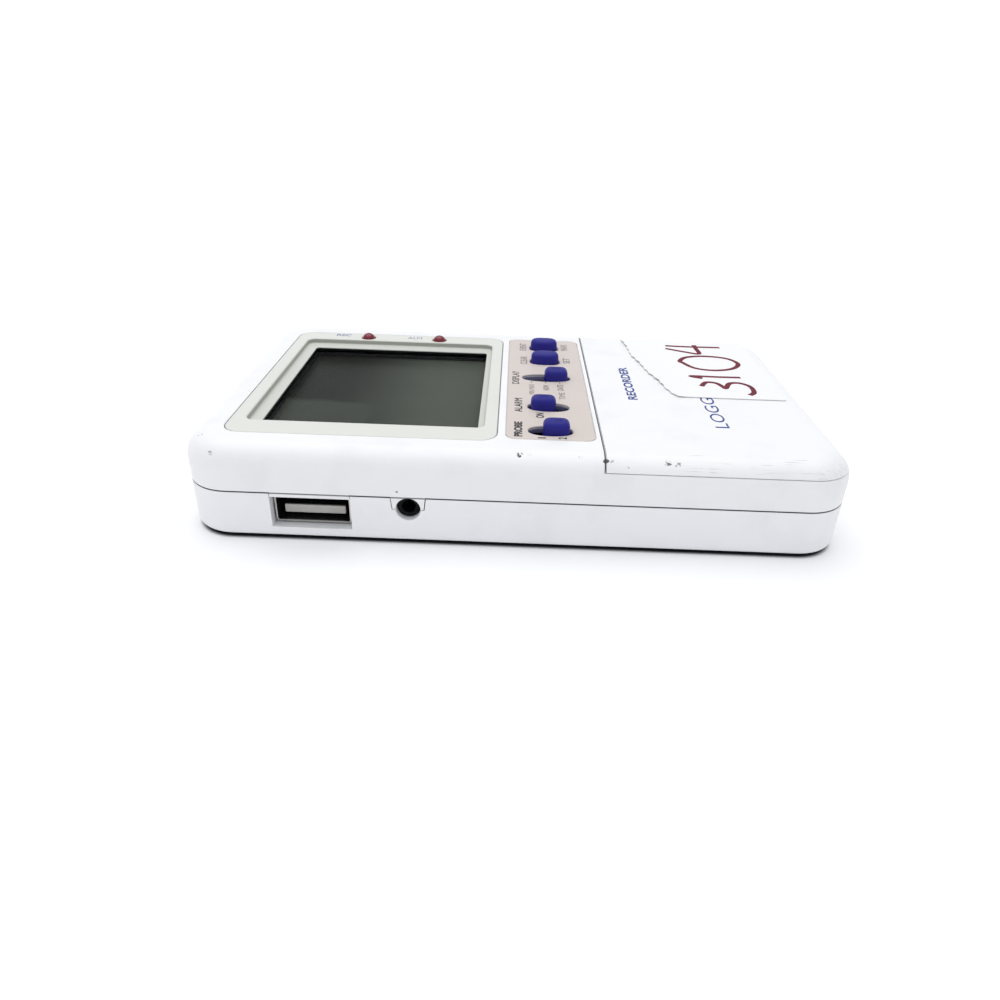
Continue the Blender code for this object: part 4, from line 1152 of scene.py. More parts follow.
def put(
    piece: Piece,
    finish: Finish,
    body: Body = Body.CASE,
    stands_for: Sequence[str] = (),
) -> None:
    """Finishes a piece: smooth shading, its material, its body and the nodes that it stands for.

    Args:
        piece: The piece.
        finish: What it wears.
        body: The body that it rides on.
        stands_for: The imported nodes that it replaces.
    """
    smooth(piece)
    finish.dress(piece)
    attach(piece, body.value)
    if stands_for:
        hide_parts(*stands_for)
    LOG.info("%s: %d faces on %s", piece.name, len(piece.data.polygons), body.value)


def tube(name: str, points: Sequence[Point], radius: float, rings: int = 2) -> Piece:
    """A round wire along points, as a closed mesh.

    Args:
        name: Its name.
        points: The points that it follows.
        radius: Its radius.
        rings: How round it is.

    Returns:
        The wire.
    """
    clear_selection()
    bpy.ops.curve.primitive_nurbs_path_add(location=(0.0, 0.0, 0.0))
    curve = bpy.context.object.data
    curve.splines.clear()
    spline = curve.splines.new("POLY")
    spline.points.add(len(points) - 1)
    for knot, place in zip(spline.points, points):
        knot.co = (*place, 1.0)
    curve.bevel_depth = radius
    curve.bevel_resolution = rings
    curve.use_fill_caps = True
    bpy.ops.object.convert(target="MESH")
    return newly_made(name)


class Word(NamedTuple):
    """Printed lettering; it reads along Y, with its tops towards the display end, unless turned."""

    text: str
    centre: Pair
    length: float
    height: float
    weight: float = 0.0
    turn: float = READ_TURN


def lettering(name: str, words: Sequence[Word], low: float, thickness: float) -> Piece:
    """Thin raised print.

    Args:
        name: The object's name.
        words: What is printed, and where.
        low: The surface's height.
        thickness: The print's thickness.

    Returns:
        One object with all the words.
    """
    printed = []
    for number, word in enumerate(words, 1):
        clear_selection()
        bpy.ops.object.text_add(location=(0.0, 0.0, 0.0))
        letters = bpy.context.object
        letters.data.body = word.text
        letters.data.align_x = "CENTER"
        letters.data.align_y = "CENTER"
        letters.data.extrude = 0.5
        letters.data.offset = word.weight
        letters.data.resolution_u = 4
        bpy.ops.object.convert(target="MESH")
        corners = [Vector(corner) for corner in letters.bound_box]
        lows = [min(corner[axis] for corner in corners) for axis in (X, Y)]
        highs = [max(corner[axis] for corner in corners) for axis in (X, Y)]
        with editing(letters):
            bpy.ops.mesh.select_all(action="SELECT")
            middle = tuple(-(a + b) / 2 for a, b in zip(lows, highs))
            bpy.ops.transform.translate(value=(*middle, 0.0))
        wide, tall = (b - a for a, b in zip(lows, highs))
        letters.scale = (word.length / wide, word.height / tall, thickness)
        letters.rotation_euler = (0.0, 0.0, word.turn)
        letters.location = (*word.centre, low + thickness / 2)
        printed.append(newly_made(f"{name}_{number}"))
    return gather(name, printed)


def oval(
    name: str,
    centre: Pair,
    reach: Pair,
    sections: Sequence[Pair],
    power: float = 2.3,
    sides: int = 56,
) -> Piece:
    """A solid whose plan is between an ellipse and a rectangle.

    Args:
        name: Its name.
        centre: Its middle in plan.
        reach: How far it reaches from the middle along X and Y.
        sections: For each level, how far it comes in from that reach, and its height.
        power: 2 for an ellipse; more is squarer.
        sides: Its facets around.

    Returns:
        The solid.
    """
    inset, height = sections[0]
    clear_selection()
    bpy.ops.mesh.primitive_circle_add(
        vertices=sides, radius=1.0, fill_type="NGON", location=(0.0, 0.0, height)
    )
    piece = newly_made(name)
    sizes = [side - inset for side in reach]
    with editing(piece):
        shape = bmesh.from_edit_mesh(piece.data)
        for corner in shape.verts:
            x, y, _ = corner.co
            squarer = (abs(x) ** power + abs(y) ** power) ** (-1.0 / power)
            corner.co.x = x * squarer
            corner.co.y = y * squarer
        bmesh.update_edit_mesh(piece.data)
        bpy.ops.mesh.select_all(action="SELECT")
        bpy.ops.transform.resize(value=(*sizes, 1.0), center_override=(0.0, 0.0, height))
        for next_inset, next_height in sections[1:]:
            step = (0.0, 0.0, next_height - height)
            bpy.ops.mesh.extrude_region_move(TRANSFORM_OT_translate={"value": step})
            new_sizes = [side - next_inset for side in reach]
            factors = [new / old for new, old in zip(new_sizes, sizes)]
            middle = (0.0, 0.0, next_height)
            bpy.ops.transform.resize(value=(*factors, 1.0), center_override=middle)
            sizes, height = new_sizes, next_height
        bpy.ops.mesh.select_all(action="SELECT")
        bpy.ops.mesh.normals_make_consistent(inside=False)
    piece.location = (*centre, 0.0)
    settle(piece)
    return piece


def rounding(height: float, reach: float, steps: int) -> list[Pair]:
    """Levels of a quarter-round top edge that begins at a height, as inset and height."""
    levels = []
    for step in range(steps + 1):
        angle = math.pi / 2 * step / steps
        levels.append((reach * (1 - math.cos(angle)), height + reach * math.sin(angle)))
    return levels


# Sub-assemblies

LAMPS = ("record_lamp", "alert_lamp")
LAMP_HOLE = 1.65 * MM
# A band of painted shade along the parting line between the shells.
PARTING = Seam(Z, 9.04 * MM, 9.26 * MM)
WHITE_ABS = MouldedPlastic(
    "white_abs_top",
    (0.90, 0.90, 0.905),
    0.42,
    seams=(PARTING, Seam(X, 14.27 * MM, 14.34 * MM, 15.0 * MM)),
    nicks=(
        Chip(mm(-53.66, -29.9, 17.0), 0.5 * MM, 0.55),
        Chip(mm(-56.9, -27.1, 13.4), 0.6 * MM, 0.6),
        Chip(mm(-50.7, -33.9, 15.8), 0.5 * MM, 0.6),
        Chip(mm(0.3, -32.7, 16.9), 0.6 * MM, 0.97, 0.47),
        Chip(mm(1.9, -32.6, 16.95), 0.4 * MM, 0.5),
        Chip(mm(10.3, -32.8, 16.9), 0.35 * MM, 0.35),
        Chip(mm(-20.0, -35.0, 10.3), 0.22 * MM, 0.75, 0.3),
        Chip(mm(14.35, -33.3, 16.6), 0.4 * MM, 0.95, 0.2),
    ),
)
COVER_ABS = MouldedPlastic(
    "white_abs_cover",
    (0.90, 0.90, 0.905),
    0.42,
    scratched_edge=True,
    seams=(Seam(X, 14.56 * MM, 14.62 * MM, 15.0 * MM),),
    nicks=(
        Chip(mm(14.6, -33.2, 16.6), 0.45 * MM, 0.95, 0.2),
        Chip(mm(15.6, -33.4, 16.5), 0.5 * MM, 0.5),
        Chip(mm(18.2, -34.0, 16.0), 0.3 * MM, 0.5),
        Chip(mm(24.7, -33.2, 16.65), 0.65 * MM, 0.85, 0.46),
        Chip(mm(26.2, -33.3, 16.6), 0.7 * MM, 0.7, 0.5),
    ),
)
BASE_ABS = MouldedPlastic("white_abs_base", (0.90, 0.90, 0.91), 0.45, seams=(PARTING,))
INNER_ABS = MouldedPlastic("white_abs_inner", (0.82, 0.82, 0.83), 0.55, soil=0.02)
GREY_GREEN = MouldedPlastic(
    "bezel_grey_green_satin",
    (0.735, 0.745, 0.695),
    0.36,
    grain_depth=0.003 * MM,
    soil=0.02,
    # Painted olive shade on the bezel's recess walls between these heights.
    wall_shade_band=mm(16.42, 17.1),
)
SATIN_BLACK = MouldedPlastic("black_nylon", (0.012, 0.012, 0.013), 0.38, soil=0.03)
KEY_BLUE = MouldedPlastic(
    "key_blue_moulding", (0.015, 0.013, 0.22), 0.5, grain_depth=0.004 * MM, soil=0.05, shine=0.25
)
BEIGE_FILM = OverlayFilm("overlay_beige_film", (0.675, 0.605, 0.56), 0.5)
BLACK_INK = PrintedInk("ink_black", (0.02, 0.018, 0.022), 0.5)
GREY_INK = PrintedInk("ink_grey", (0.17, 0.155, 0.155), 0.5)
BLUE_INK = PrintedInk("ink_blue", (0.010, 0.045, 0.26), 0.45)
PALE_BLUE_INK = PrintedInk("ink_pale_blue", (0.16, 0.19, 0.36), 0.45)
MARKER_INK = PrintedInk("ink_dark_red_marker", (0.14, 0.002, 0.018), 0.7)
CLEAR_ACRYLIC = ClearPane("clear_acrylic_pane", (0.97, 0.985, 0.975), 0.03)
# The colour given here is the painted reflection's paler colour.
LCD_FILM = DisplayFilm("display_polariser", (0.088, 0.094, 0.080), 0.3)
LAMP_RESIN = Resin("lamp_red_resin", (0.16, 0.003, 0.012), 0.2, coat=0.2)
JACK_BLACK = Resin("jack_gloss_black", (0.006, 0.006, 0.007), 0.4, shine=0.08)
# Painted shade darkens the socket's steel deeper in than -33.3 mm, and the contacts' gilt deeper in
# than -31.9 mm.
SOCKET_STEEL = Steel("socket_plated_steel", (0.66, 0.65, 0.62), 0.28, painted_shade_from=-33.3 * MM)
PLATED_STEEL = Steel("plated_steel", (0.60, 0.60, 0.61), 0.3)
CAN_STEEL = Steel("crystal_can_steel", (0.66, 0.65, 0.63), 0.22, lines=(1.0, 8.0, 1.0))
GOLD_STRIP = Steel("contact_gilt", (0.72, 0.52, 0.22), 0.3, painted_shade_from=-31.9 * MM)
TONGUE_RESIN = TongueResin("tongue_beige_resin", (0.66, 0.63, 0.585), 0.5)
CHIP_RESIN = MouldedPlastic("chip_epoxy", (0.018, 0.018, 0.02), 0.55, grain=0.12 * MM)
RUBBER = Rubber("foot_rubber_matt", (0.045, 0.045, 0.05), 0.85)
ZEBRA_RUBBER = Rubber("elastomer_strip", (0.22, 0.11, 0.11), 0.8)
PAPER_WHITE = PaperStock("label_paper", (0.90, 0.90, 0.905), 0.8)
CELL_SLEEVE = Sleeve("cell_sleeve_green", (0.03, 0.13, 0.085), 0.28)
BOARD_GREEN = BoardLacquer("board_solder_mask", (0.018, 0.13, 0.06), 0.32)
WIRE_RED = Rubber("wire_red_sleeve", (0.40, 0.02, 0.02), 0.45)


@dataclass
class Case:
    """The case's outline and heights, which several sub-assemblies share."""

    corner: float = 8 * MM
    top_round: float = 4 * MM
    wall: float = 2 * MM
    top: float = 17.3 * MM
    roof: float = 15.5 * MM
    parting: float = 9.15 * MM
    gap: float = 0.15 * MM
    seam: float = 14.35 * MM
    ledge: float = 15.0 * MM
    deck_top: float = 15.8 * MM
    deck_low: float = 14.2 * MM
    deck_right: float = 54.5 * MM
    deck_side: float = 32.5 * MM
    deck_corner: float = 5.5 * MM
    dovetail_slope: float = 0.4 / 0.875
    edge: float = 0.14 * MM
    corner_steps: int = 14
    past: float = 1 * MM

    @property
    def plan(self) -> Box:
        """The case's box in plan, up to its top."""
        return Box.of("top_case")

    def inset(self, reach: float, low: float, high: float) -> Box:
        """The case's outline moved in, between two heights."""
        return self.plan.grown(-reach).cut_to(Z, low, high)

    @property
    def deck(self) -> Box:
        """The deck that the battery cover slides on."""
        left, side = self.seam - self.corner, self.deck_side
        return span(left, self.deck_right, -side, side, self.deck_low, self.deck_top)


@dataclass
class CaseShells:
    """The two white shells, with the deck, the battery bay, the bosses and every opening.

    The bosses are a radius and a low end, the counterbore a radius and its top, and the other round
    features a radius, a low end and a high end.
    """

    case: Case
    bay: Box = span(*mm(23.375, 45.475, -24.85, 24.85, 5.1, 15.8))
    bay_wall: float = 1.2 * MM
    screw_x: float = 50 * MM
    screw_y: float = 28 * MM
    board_screw: Pair = mm(17.15, 25.5)
    foot_x: float = 42.8 * MM
    jack: Pair = mm(-18.2, 6.95)
    jack_hole: float = 2.1 * MM
    lip_offset: float = 2.15 * MM
    lip_inner: float = 2.9 * MM
    lip_top: float = 10.05 * MM
    floor: float = 2.6 * MM
    base: float = 0.6 * MM
    base_round: float = 1.1 * MM
    tabs_top: float = 10.35 * MM
    usb_tab_low: float = 8.44 * MM
    usb_tab_depth: float = 1.25 * MM
    boss: Pair = mm(2.9, 5.7)
    boss_into_roof: float = 0.6 * MM
    board_boss: Pair = mm(2.6, 10.19)
    screw_pilot: Point = mm(1.4, 5.0, 12.1)
    board_pilot: Point = mm(1.1, 8.8, 13.0)
    pillar: Point = mm(3.6, 1.7, 5.5)
    shank_hole: Point = (1.6 * MM, 0.0, 6.5 * MM)
    foot_recess: Point = (3.6 * MM, 0.0, 1.4 * MM)
    counterbore: Pair = mm(2.8, 3.0)

    def build(self) -> None:
        """Models both shells."""
        put(self.top_shell(), WHITE_ABS, Body.CASE, ["top_case"])
        put(self.bottom_shell(), BASE_ABS, Body.CASE, ["bottom_case"])

    def top_shell(self) -> Piece:
        """The upper shell."""
        case = self.case
        low = case.parting + case.gap / 2
        shell = block("top_shell", case.inset(0.0, low, case.top), case.corner, case.corner_steps)
        bevel_edges(shell, case.top_round, 10, lies_at(Z, case.top))
        bevel_edges(shell, case.edge, 2, lies_at(Z, low))
        self.cut_cover_space(shell)
        self.add_deck(shell)
        self.hollow(shell)
        self.add_bay(shell)
        self.cut_face_openings(shell)
        self.add_side_tabs(shell)
        return shell

    def cut_cover_space(self, shell: Piece) -> None:
        """Takes away what the battery cover fills, and softens the seam's edges."""
        case = self.case
        shelf = case.ledge - case.gap / 2
        right = case.plan.high[X] + case.past
        far = case.plan.high[Y] + case.past
        space = span(case.seam, right, -far, far, shelf, case.top + case.past)
        carve(shell, cuboid("cover_space", space))
        at_seam, at_shelf = lies_at(X, case.seam), lies_at(Z, shelf)
        bevel_edges(shell, case.edge, 2, lambda e: at_seam(e) != at_shelf(e))

    def add_deck(self, shell: Piece) -> None:
        """Adds the dovetailed deck, a little narrower at its foot."""
        case = self.case
        low = case.ledge - case.gap / 2 - 0.8 * MM
        box = case.deck.cut_to(Z, low=low)
        narrower = case.dovetail_slope * (case.deck_top - low)
        deck = tapered("deck", box, case.deck_corner, narrower)
        bevel_edges(deck, case.edge, 2, lies_at(Z, case.deck_top))
        weld(shell, deck)

    def hollow(self, shell: Piece) -> None:
        """Hollows the shell under the deck and under the display end."""
        case = self.case
        inner = case.inset(case.wall, case.parting - case.past, case.deck_low)
        end = case.inset(case.wall, case.deck_low - case.past, case.roof)
        low = block("inner_space", inner, case.corner - case.wall)
        raised = block("display_end_space", end.cut_to(X, high=case.seam - case.wall), case.wall, 4)
        bevel_edges(raised, case.wall / 2, 3, lies_at(Z, case.roof))
        carve(shell, low, raised)

    @staticmethod
    def bars(places: Outline, radius: float, low: float, high: float) -> list[Piece]:
        """Upright bars at several places."""
        return [rod("bar", radius, (x, y, low), high - low) for x, y in places]

    @staticmethod
    def corners(x: float, y: float) -> list[Pair]:
        """The four places that mirror one another."""
        return [(side * x, end * y) for side in (-1, 1) for end in (-1, 1)]

    def add_bay(self, shell: Piece) -> None:
        """Adds the battery bay and the screw bosses, and cuts their holes."""
        case, bay = self.case, self.bay
        middle = (case.deck_top + case.deck_low) / 2
        outer = bay.grown(self.bay_wall).cut_to(Z, bay.low[Z] - self.bay_wall, middle)
        weld(shell, block("bay_walls", outer, 1.5 * MM, 4))
        screws = self.corners(self.screw_x, self.screw_y)
        board_screws = [(self.board_screw[0], side * self.board_screw[1]) for side in (-1, 1)]
        left = [place for place in screws if place[0] < 0]
        right = [place for place in screws if place[0] > 0]
        weld(shell, *self.bars(left, *self.boss, case.roof + self.boss_into_roof))
        weld(shell, *self.bars(right, *self.boss, middle))
        weld(shell, *self.bars(board_screws, *self.board_boss, middle))
        carve(shell, mouth("bay_space", bay, 0.4 * MM, 0.2 * MM, 3))
        carve(shell, *self.bars(screws, *self.screw_pilot))
        carve(shell, *self.bars(board_screws, *self.board_pilot))
        for plate in ("negative_contact", "positive_contact"):
            x = Box.of(plate).centre[X]
            slot = span(x - 1.4 * MM, x + 1.4 * MM, -27 * MM, -24.3 * MM, 5.6 * MM, 6.4 * MM)
            carve(shell, cuboid("tab_slot", slot))

    def cut_face_openings(self, shell: Piece) -> None:
        """Cuts the seats of the bezel and the overlay, and the holes for lamps and keys."""
        case = self.case
        below = case.roof - case.past
        bezel = Box.of("lcd_bezel").grown(case.gap).cut_to(Z, 16.27 * MM, case.top)
        throat = Display.recess.grown(Display.tub_wall + 0.2 * MM).cut_to(Z, below, case.top)
        overlay = Box.of("keypad_overlay").grown(case.gap).cut_to(Z, 16.95 * MM, case.top)
        carve(
            shell,
            mouth("bezel_seat", bezel, 3.35 * MM, 0.08 * MM),
            block("display_hole", throat, 2.6 * MM, 4),
            mouth("overlay_seat", overlay, 1.95 * MM, 0.08 * MM),
        )
        for lamp in LAMPS:
            x, y, _ = Box.of(lamp).centre
            carve(shell, rod("lamp_hole", LAMP_HOLE, (x, y, below), case.top - below))
        for hole in Keypad.openings(below, case.top + case.past, undercut=1.6 * MM):
            carve(shell, hole)

    def add_side_tabs(self, shell: Piece) -> None:
        """Adds the tabs over the USB notch and the jacks, and cuts the jacks' upper half holes."""
        case = self.case
        near = case.plan.low[Y]
        tab = Box.of("usb_shell").grown(case.gap).cut_to(Y, near, near + self.usb_tab_depth)
        weld(shell, cuboid("usb_tab", tab.cut_to(Z, self.usb_tab_low, self.tabs_top)))
        for side in (-1, 1):
            weld(shell, self.jack_tab(side, 0.0, self.tabs_top, case.wall, 0.0))
        for side in (-1, 1):
            carve(shell, self.jack_cutter(side))

    def jack_tab(self, side: int, grow: float, top: float, depth: float, proud: float) -> Piece:
        """The tab over a jack: as wide as its hole at the bottom and wider at the parting.

        Args:
            side: -1 for the near wall, 1 for the far one.
            grow: How much wider than the tab, for its notch.
            top: Its highest level.
            depth: How far it reaches in from the wall's face.
            proud: How far it reaches out.

        Returns:
            The solid.
        """
        x, height = self.jack
        wall = side * self.case.plan.high[Y]
        faces = sorted((wall + side * proud, wall - side * depth))
        half_top, half_low = 2.9 * MM + grow, 2.625 * MM + grow
        box = span(x - half_top, x + half_top, *faces, height - grow, self.case.parting)
        tab = cuboid("jack_tab", box)
        with editing(tab):
            pick(tab, "FACE", lies_at(Z, box.low[Z]))
            factors = (half_low / half_top, 1.0, 1.0)
            bpy.ops.transform.resize(value=factors, center_override=box.centre)
            pick(tab, "FACE", lies_at(Z, box.high[Z]))
            step = (0.0, 0.0, top - box.high[Z])
            bpy.ops.mesh.extrude_region_move(TRANSFORM_OT_translate={"value": step})
        return tab

    def jack_cutter(self, side: int) -> Piece:
        """A jack's hole through one wall, with a small chamfer outside."""
        x, height = self.jack
        place = (x, side * self.case.plan.high[Y], height)
        turn = AWAY if side > 0 else TOWARDS
        return round_mouth("jack_hole", self.jack_hole, place, 4 * MM, 0.1 * MM, turn)

    def bottom_shell(self) -> Piece:
        """The lower shell, with its lip, pillars and recesses."""
        case = self.case
        low, rim = self.base, case.parting - case.gap / 2
        shell = block("bottom_shell", case.inset(0.0, low, rim), case.corner, case.corner_steps)
        bevel_edges(shell, self.base_round, 6, lies_at(Z, low))
        bevel_edges(shell, case.edge, 2, lies_at(Z, rim))
        lip = case.inset(self.lip_offset, self.floor, self.lip_top)
        weld(shell, block("lip", lip, case.corner - self.lip_offset, case.corner_steps))
        space = case.inset(self.lip_inner, self.floor, self.lip_top + case.past)
        carve(shell, block("case_space", space, case.corner - self.lip_inner, case.corner_steps))
        screws = self.corners(self.screw_x, self.screw_y)
        weld(shell, *self.bars(screws, *self.pillar))
        radius, top = self.counterbore
        for x, y in screws:
            place, depth = (x, y, low), top - low
            carve(shell, round_mouth("counterbore", radius, place, depth, 0.15 * MM, DOWNWARDS))
        carve(shell, *self.bars(screws, *self.shank_hole))
        carve(shell, *self.bars(self.corners(self.foot_x, self.screw_y), *self.foot_recess))
        self.cut_socket_notches(shell, rim)
        return shell

    def cut_socket_notches(self, shell: Piece, rim: float) -> None:
        """Cuts the notches for the USB socket and the jacks' tabs, and the lower half holes."""
        case = self.case
        socket = Box.of("usb_shell").grown(0.3 * MM)
        near = case.plan.low[Y]
        notch = socket.cut_to(Y, near - case.past, near + self.lip_inner + case.past)
        carve(shell, cuboid("usb_notch", notch.cut_to(Z, self.floor, self.lip_top + case.past)))
        for side in (-1, 1):
            depth = case.wall + case.gap
            carve(shell, self.jack_tab(side, case.gap, rim + case.past, depth, case.past))
            carve(shell, self.jack_cutter(side))


TORN_EDGE: Outline = (
    (-5.2, 31.15),
    (-1.5, 29.7),
    (3.0, 28.9),
    (8.0, 27.4),
    (13.3, 26.45),
    (19.0, 25.2),
    (25.0, 24.9),
    (30.6, 24.05),
)
THREE: Outline = (
    *((37.2, 0.9), (38.6, 3.2), (40.6, 2.9), (41.6, 0.8), (42.0, 0.2)),
    *((43.4, 3.0), (45.6, 3.4), (47.3, 1.6), (47.2, -1.6), (45.9, -3.2)),
)
ONE: Outline = ((46.6, 6.9), (42.0, 6.7), (36.2, 6.8), (38.4, 5.6))
NOUGHT: Outline = (
    *((35.8, 15.6), (38.0, 12.0), (42.0, 10.9), (46.3, 12.4), (48.3, 15.8)),
    *((46.4, 19.2), (41.6, 20.2), (37.4, 18.9), (35.6, 16.2), (36.0, 15.2)),
)
FOUR: Outline = ((33.9, 24.9), (37.5, 23.0), (40.9, 21.8), (41.0, 25.4), (41.0, 28.0))
FOUR_STEM: Outline = ((34.2, 27.0), (40.0, 26.6), (46.8, 26.9))
PEN_STROKES = (THREE, ONE, NOUGHT, FOUR, FOUR_STEM)


@dataclass
class BatteryCover:
    """The sliding battery cover, its print and the paper label stuck on it."""

    case: Case
    thickness: float = 1.2 * MM
    slide_gap: float = 0.25 * MM
    paper_right: float = 52.6 * MM
    paper_sides: Pair = mm(-5.2, 30.6)
    paper_gap: float = 0.05 * MM
    paper_thickness: float = 0.12 * MM
    curl_width: float = 3.2 * MM
    curl_height: float = 0.2 * MM
    stroke: float = 0.54 * MM

    def build(self) -> None:
        """Models the cover, the print and the label."""
        put(self.cover(), COVER_ABS, Body.COVER, ["battery_cover"])
        top = self.case.top
        words = lettering(
            "cover_print",
            [
                Word("RECORDER", mm(22.25, 1.95), *mm(18.5, 1.9), 0.03),
                Word("LOGGER", mm(36.8, -9.0), *mm(21.0, 2.6), 0.0),
            ],
            top,
            INK,
        )
        put(words, BLUE_INK, Body.COVER)
        put(self.label(), PAPER_WHITE, Body.COVER, ["cover_label"])
        put(self.handwriting(), MARKER_INK, Body.COVER)

    def cover(self) -> Piece:
        """The cover: a rounded cap that is open towards the seam."""
        case = self.case
        low = case.ledge + case.gap / 2
        whole = case.inset(0.0, case.parting, case.top)
        cover = block("cover_shell", whole, case.corner, case.corner_steps)
        bevel_edges(cover, case.top_round, 10, lies_at(Z, case.top))
        far = case.plan.high[Y] + case.past
        left = case.plan.low[X] - case.past
        seam = case.seam + case.gap
        carve(
            cover,
            cuboid("below_cover", span(left, -left, -far, far, 0.0, low)),
            cuboid("left_of_cover", span(left, seam, -far, far, 0.0, case.top + case.past)),
        )
        space_low, space_high = low - case.past, case.top - self.thickness
        grow_high = self.slide_gap + case.dovetail_slope * (space_high - case.deck_top)
        narrower = case.dovetail_slope * (space_high - space_low)
        box = case.deck.grown(grow_high).cut_to(Z, space_low, space_high)
        carve(cover, tapered("deck_space", box, case.deck_corner + grow_high, narrower))
        at_seam, at_low, middle = lies_at(X, seam), lies_at(Z, low), case.plan.centre
        bevel_edges(cover, case.edge, 2, lambda e: at_seam(e) != at_low(e) and faces_out(e, middle))
        return cover

    def lift(self, x: float, y: float) -> float:
        """How high the label's underside stands over the cover.

        Args:
            x: Place along the case.
            y: Place across it.

        Returns:
            The height.
        """
        edge = self.torn_edge(y)
        curl = max(0.0, 1.0 - (x - edge) / self.curl_width)
        waves = math.sin(x / (3.1 * MM) + 0.6) * math.sin(y / (4.3 * MM) + 1.1)
        ripple = math.sin(y / (1.9 * MM)) * curl
        curled = self.curl_height * (1.0 + 0.4 * ripple) * curl**2
        return self.paper_gap + 0.04 * MM * (1.0 + waves) + curled

    def torn_edge(self, y: float) -> float:
        """Where the label's torn left edge lies at a place across the case."""
        place = y / MM
        for (y0, x0), (y1, x1) in zip(TORN_EDGE, TORN_EDGE[1:]):
            if place <= y1:
                share = max(0.0, (place - y0) / (y1 - y0))
                break
        else:
            share = 1.0
        fibres = 0.14 * math.sin(2.3 * place) + 0.07 * math.sin(6.1 * place)
        return (x0 + (x1 - x0) * share + fibres) * MM

    def label(self) -> Piece:
        """A wavy sheet of paper: a grid that is drawn to its outline, then given a thickness."""
        near, far = self.paper_sides
        clear_selection()
        bpy.ops.mesh.primitive_grid_add(x_subdivisions=56, y_subdivisions=72, size=1.0)
        paper = newly_made("paper_label")
        with editing(paper):
            shape = bmesh.from_edit_mesh(paper.data)
            for corner in shape.verts:
                across = near + (far - near) * (corner.co.y + 0.5)
                edge = self.torn_edge(across)
                along = edge + (self.paper_right - edge) * (corner.co.x + 0.5)
                height = self.case.top + self.lift(along, across) + self.paper_thickness / 2
                corner.co = (along, across, height)
            bmesh.update_edit_mesh(paper.data)
        modifier = paper.modifiers.new("sheet", "SOLIDIFY")
        modifier.thickness = self.paper_thickness
        modifier.offset = 0.0
        choose(paper)
        bpy.ops.object.modifier_apply(modifier=modifier.name)
        return paper

    def handwriting(self) -> Piece:
        """Hand-written digits, as flat strokes that follow the paper."""
        strokes = [
            self.pen_stroke(f"stroke_{number}", knots)
            for number, knots in enumerate(PEN_STROKES, 1)
        ]
        return gather("pen_marks", strokes)

    def pen_stroke(self, name: str, knots: Outline) -> Piece:
        """One stroke of a felt pen.

        Args:
            name: Its name.
            knots: The points that it passes, in millimetres.

        Returns:
            The stroke, a thin solid on the paper.
        """
        points = [(x * MM, y * MM, 0.0) for x, y in curved(knots, 8)]
        stroke = tube(name, points, self.stroke, 2)
        with editing(stroke):
            shape = bmesh.from_edit_mesh(stroke.data)
            for corner in shape.verts:
                x, y, z = corner.co
                surface = self.case.top + self.lift(x, y) + self.paper_thickness
                corner.co.z = surface + z / self.stroke * INK
            bmesh.update_edit_mesh(stroke.data)
        return stroke


def curved(knots: Outline, steps: int) -> list[Pair]:
    """A smooth line through knots.

    Args:
        knots: The knots.
        steps: Points for each span.

    Returns:
        The line's points.
    """
    ends = [knots[0], *knots, knots[-1]]
    line = []
    for before, start, end, after in zip(ends, ends[1:], ends[2:], ends[3:]):
        for step in range(steps):
            t = step / steps
            point = []
            for p0, p1, p2, p3 in zip(before, start, end, after):
                cubic = (2 * p0 - 5 * p1 + 4 * p2 - p3) * t * t + (3 * p1 - p0 - 3 * p2 + p3) * t**3
                point.append(0.5 * (2 * p1 + (p2 - p0) * t + cubic))
            line.append(tuple(point))
    return [*line, tuple(knots[-1])]


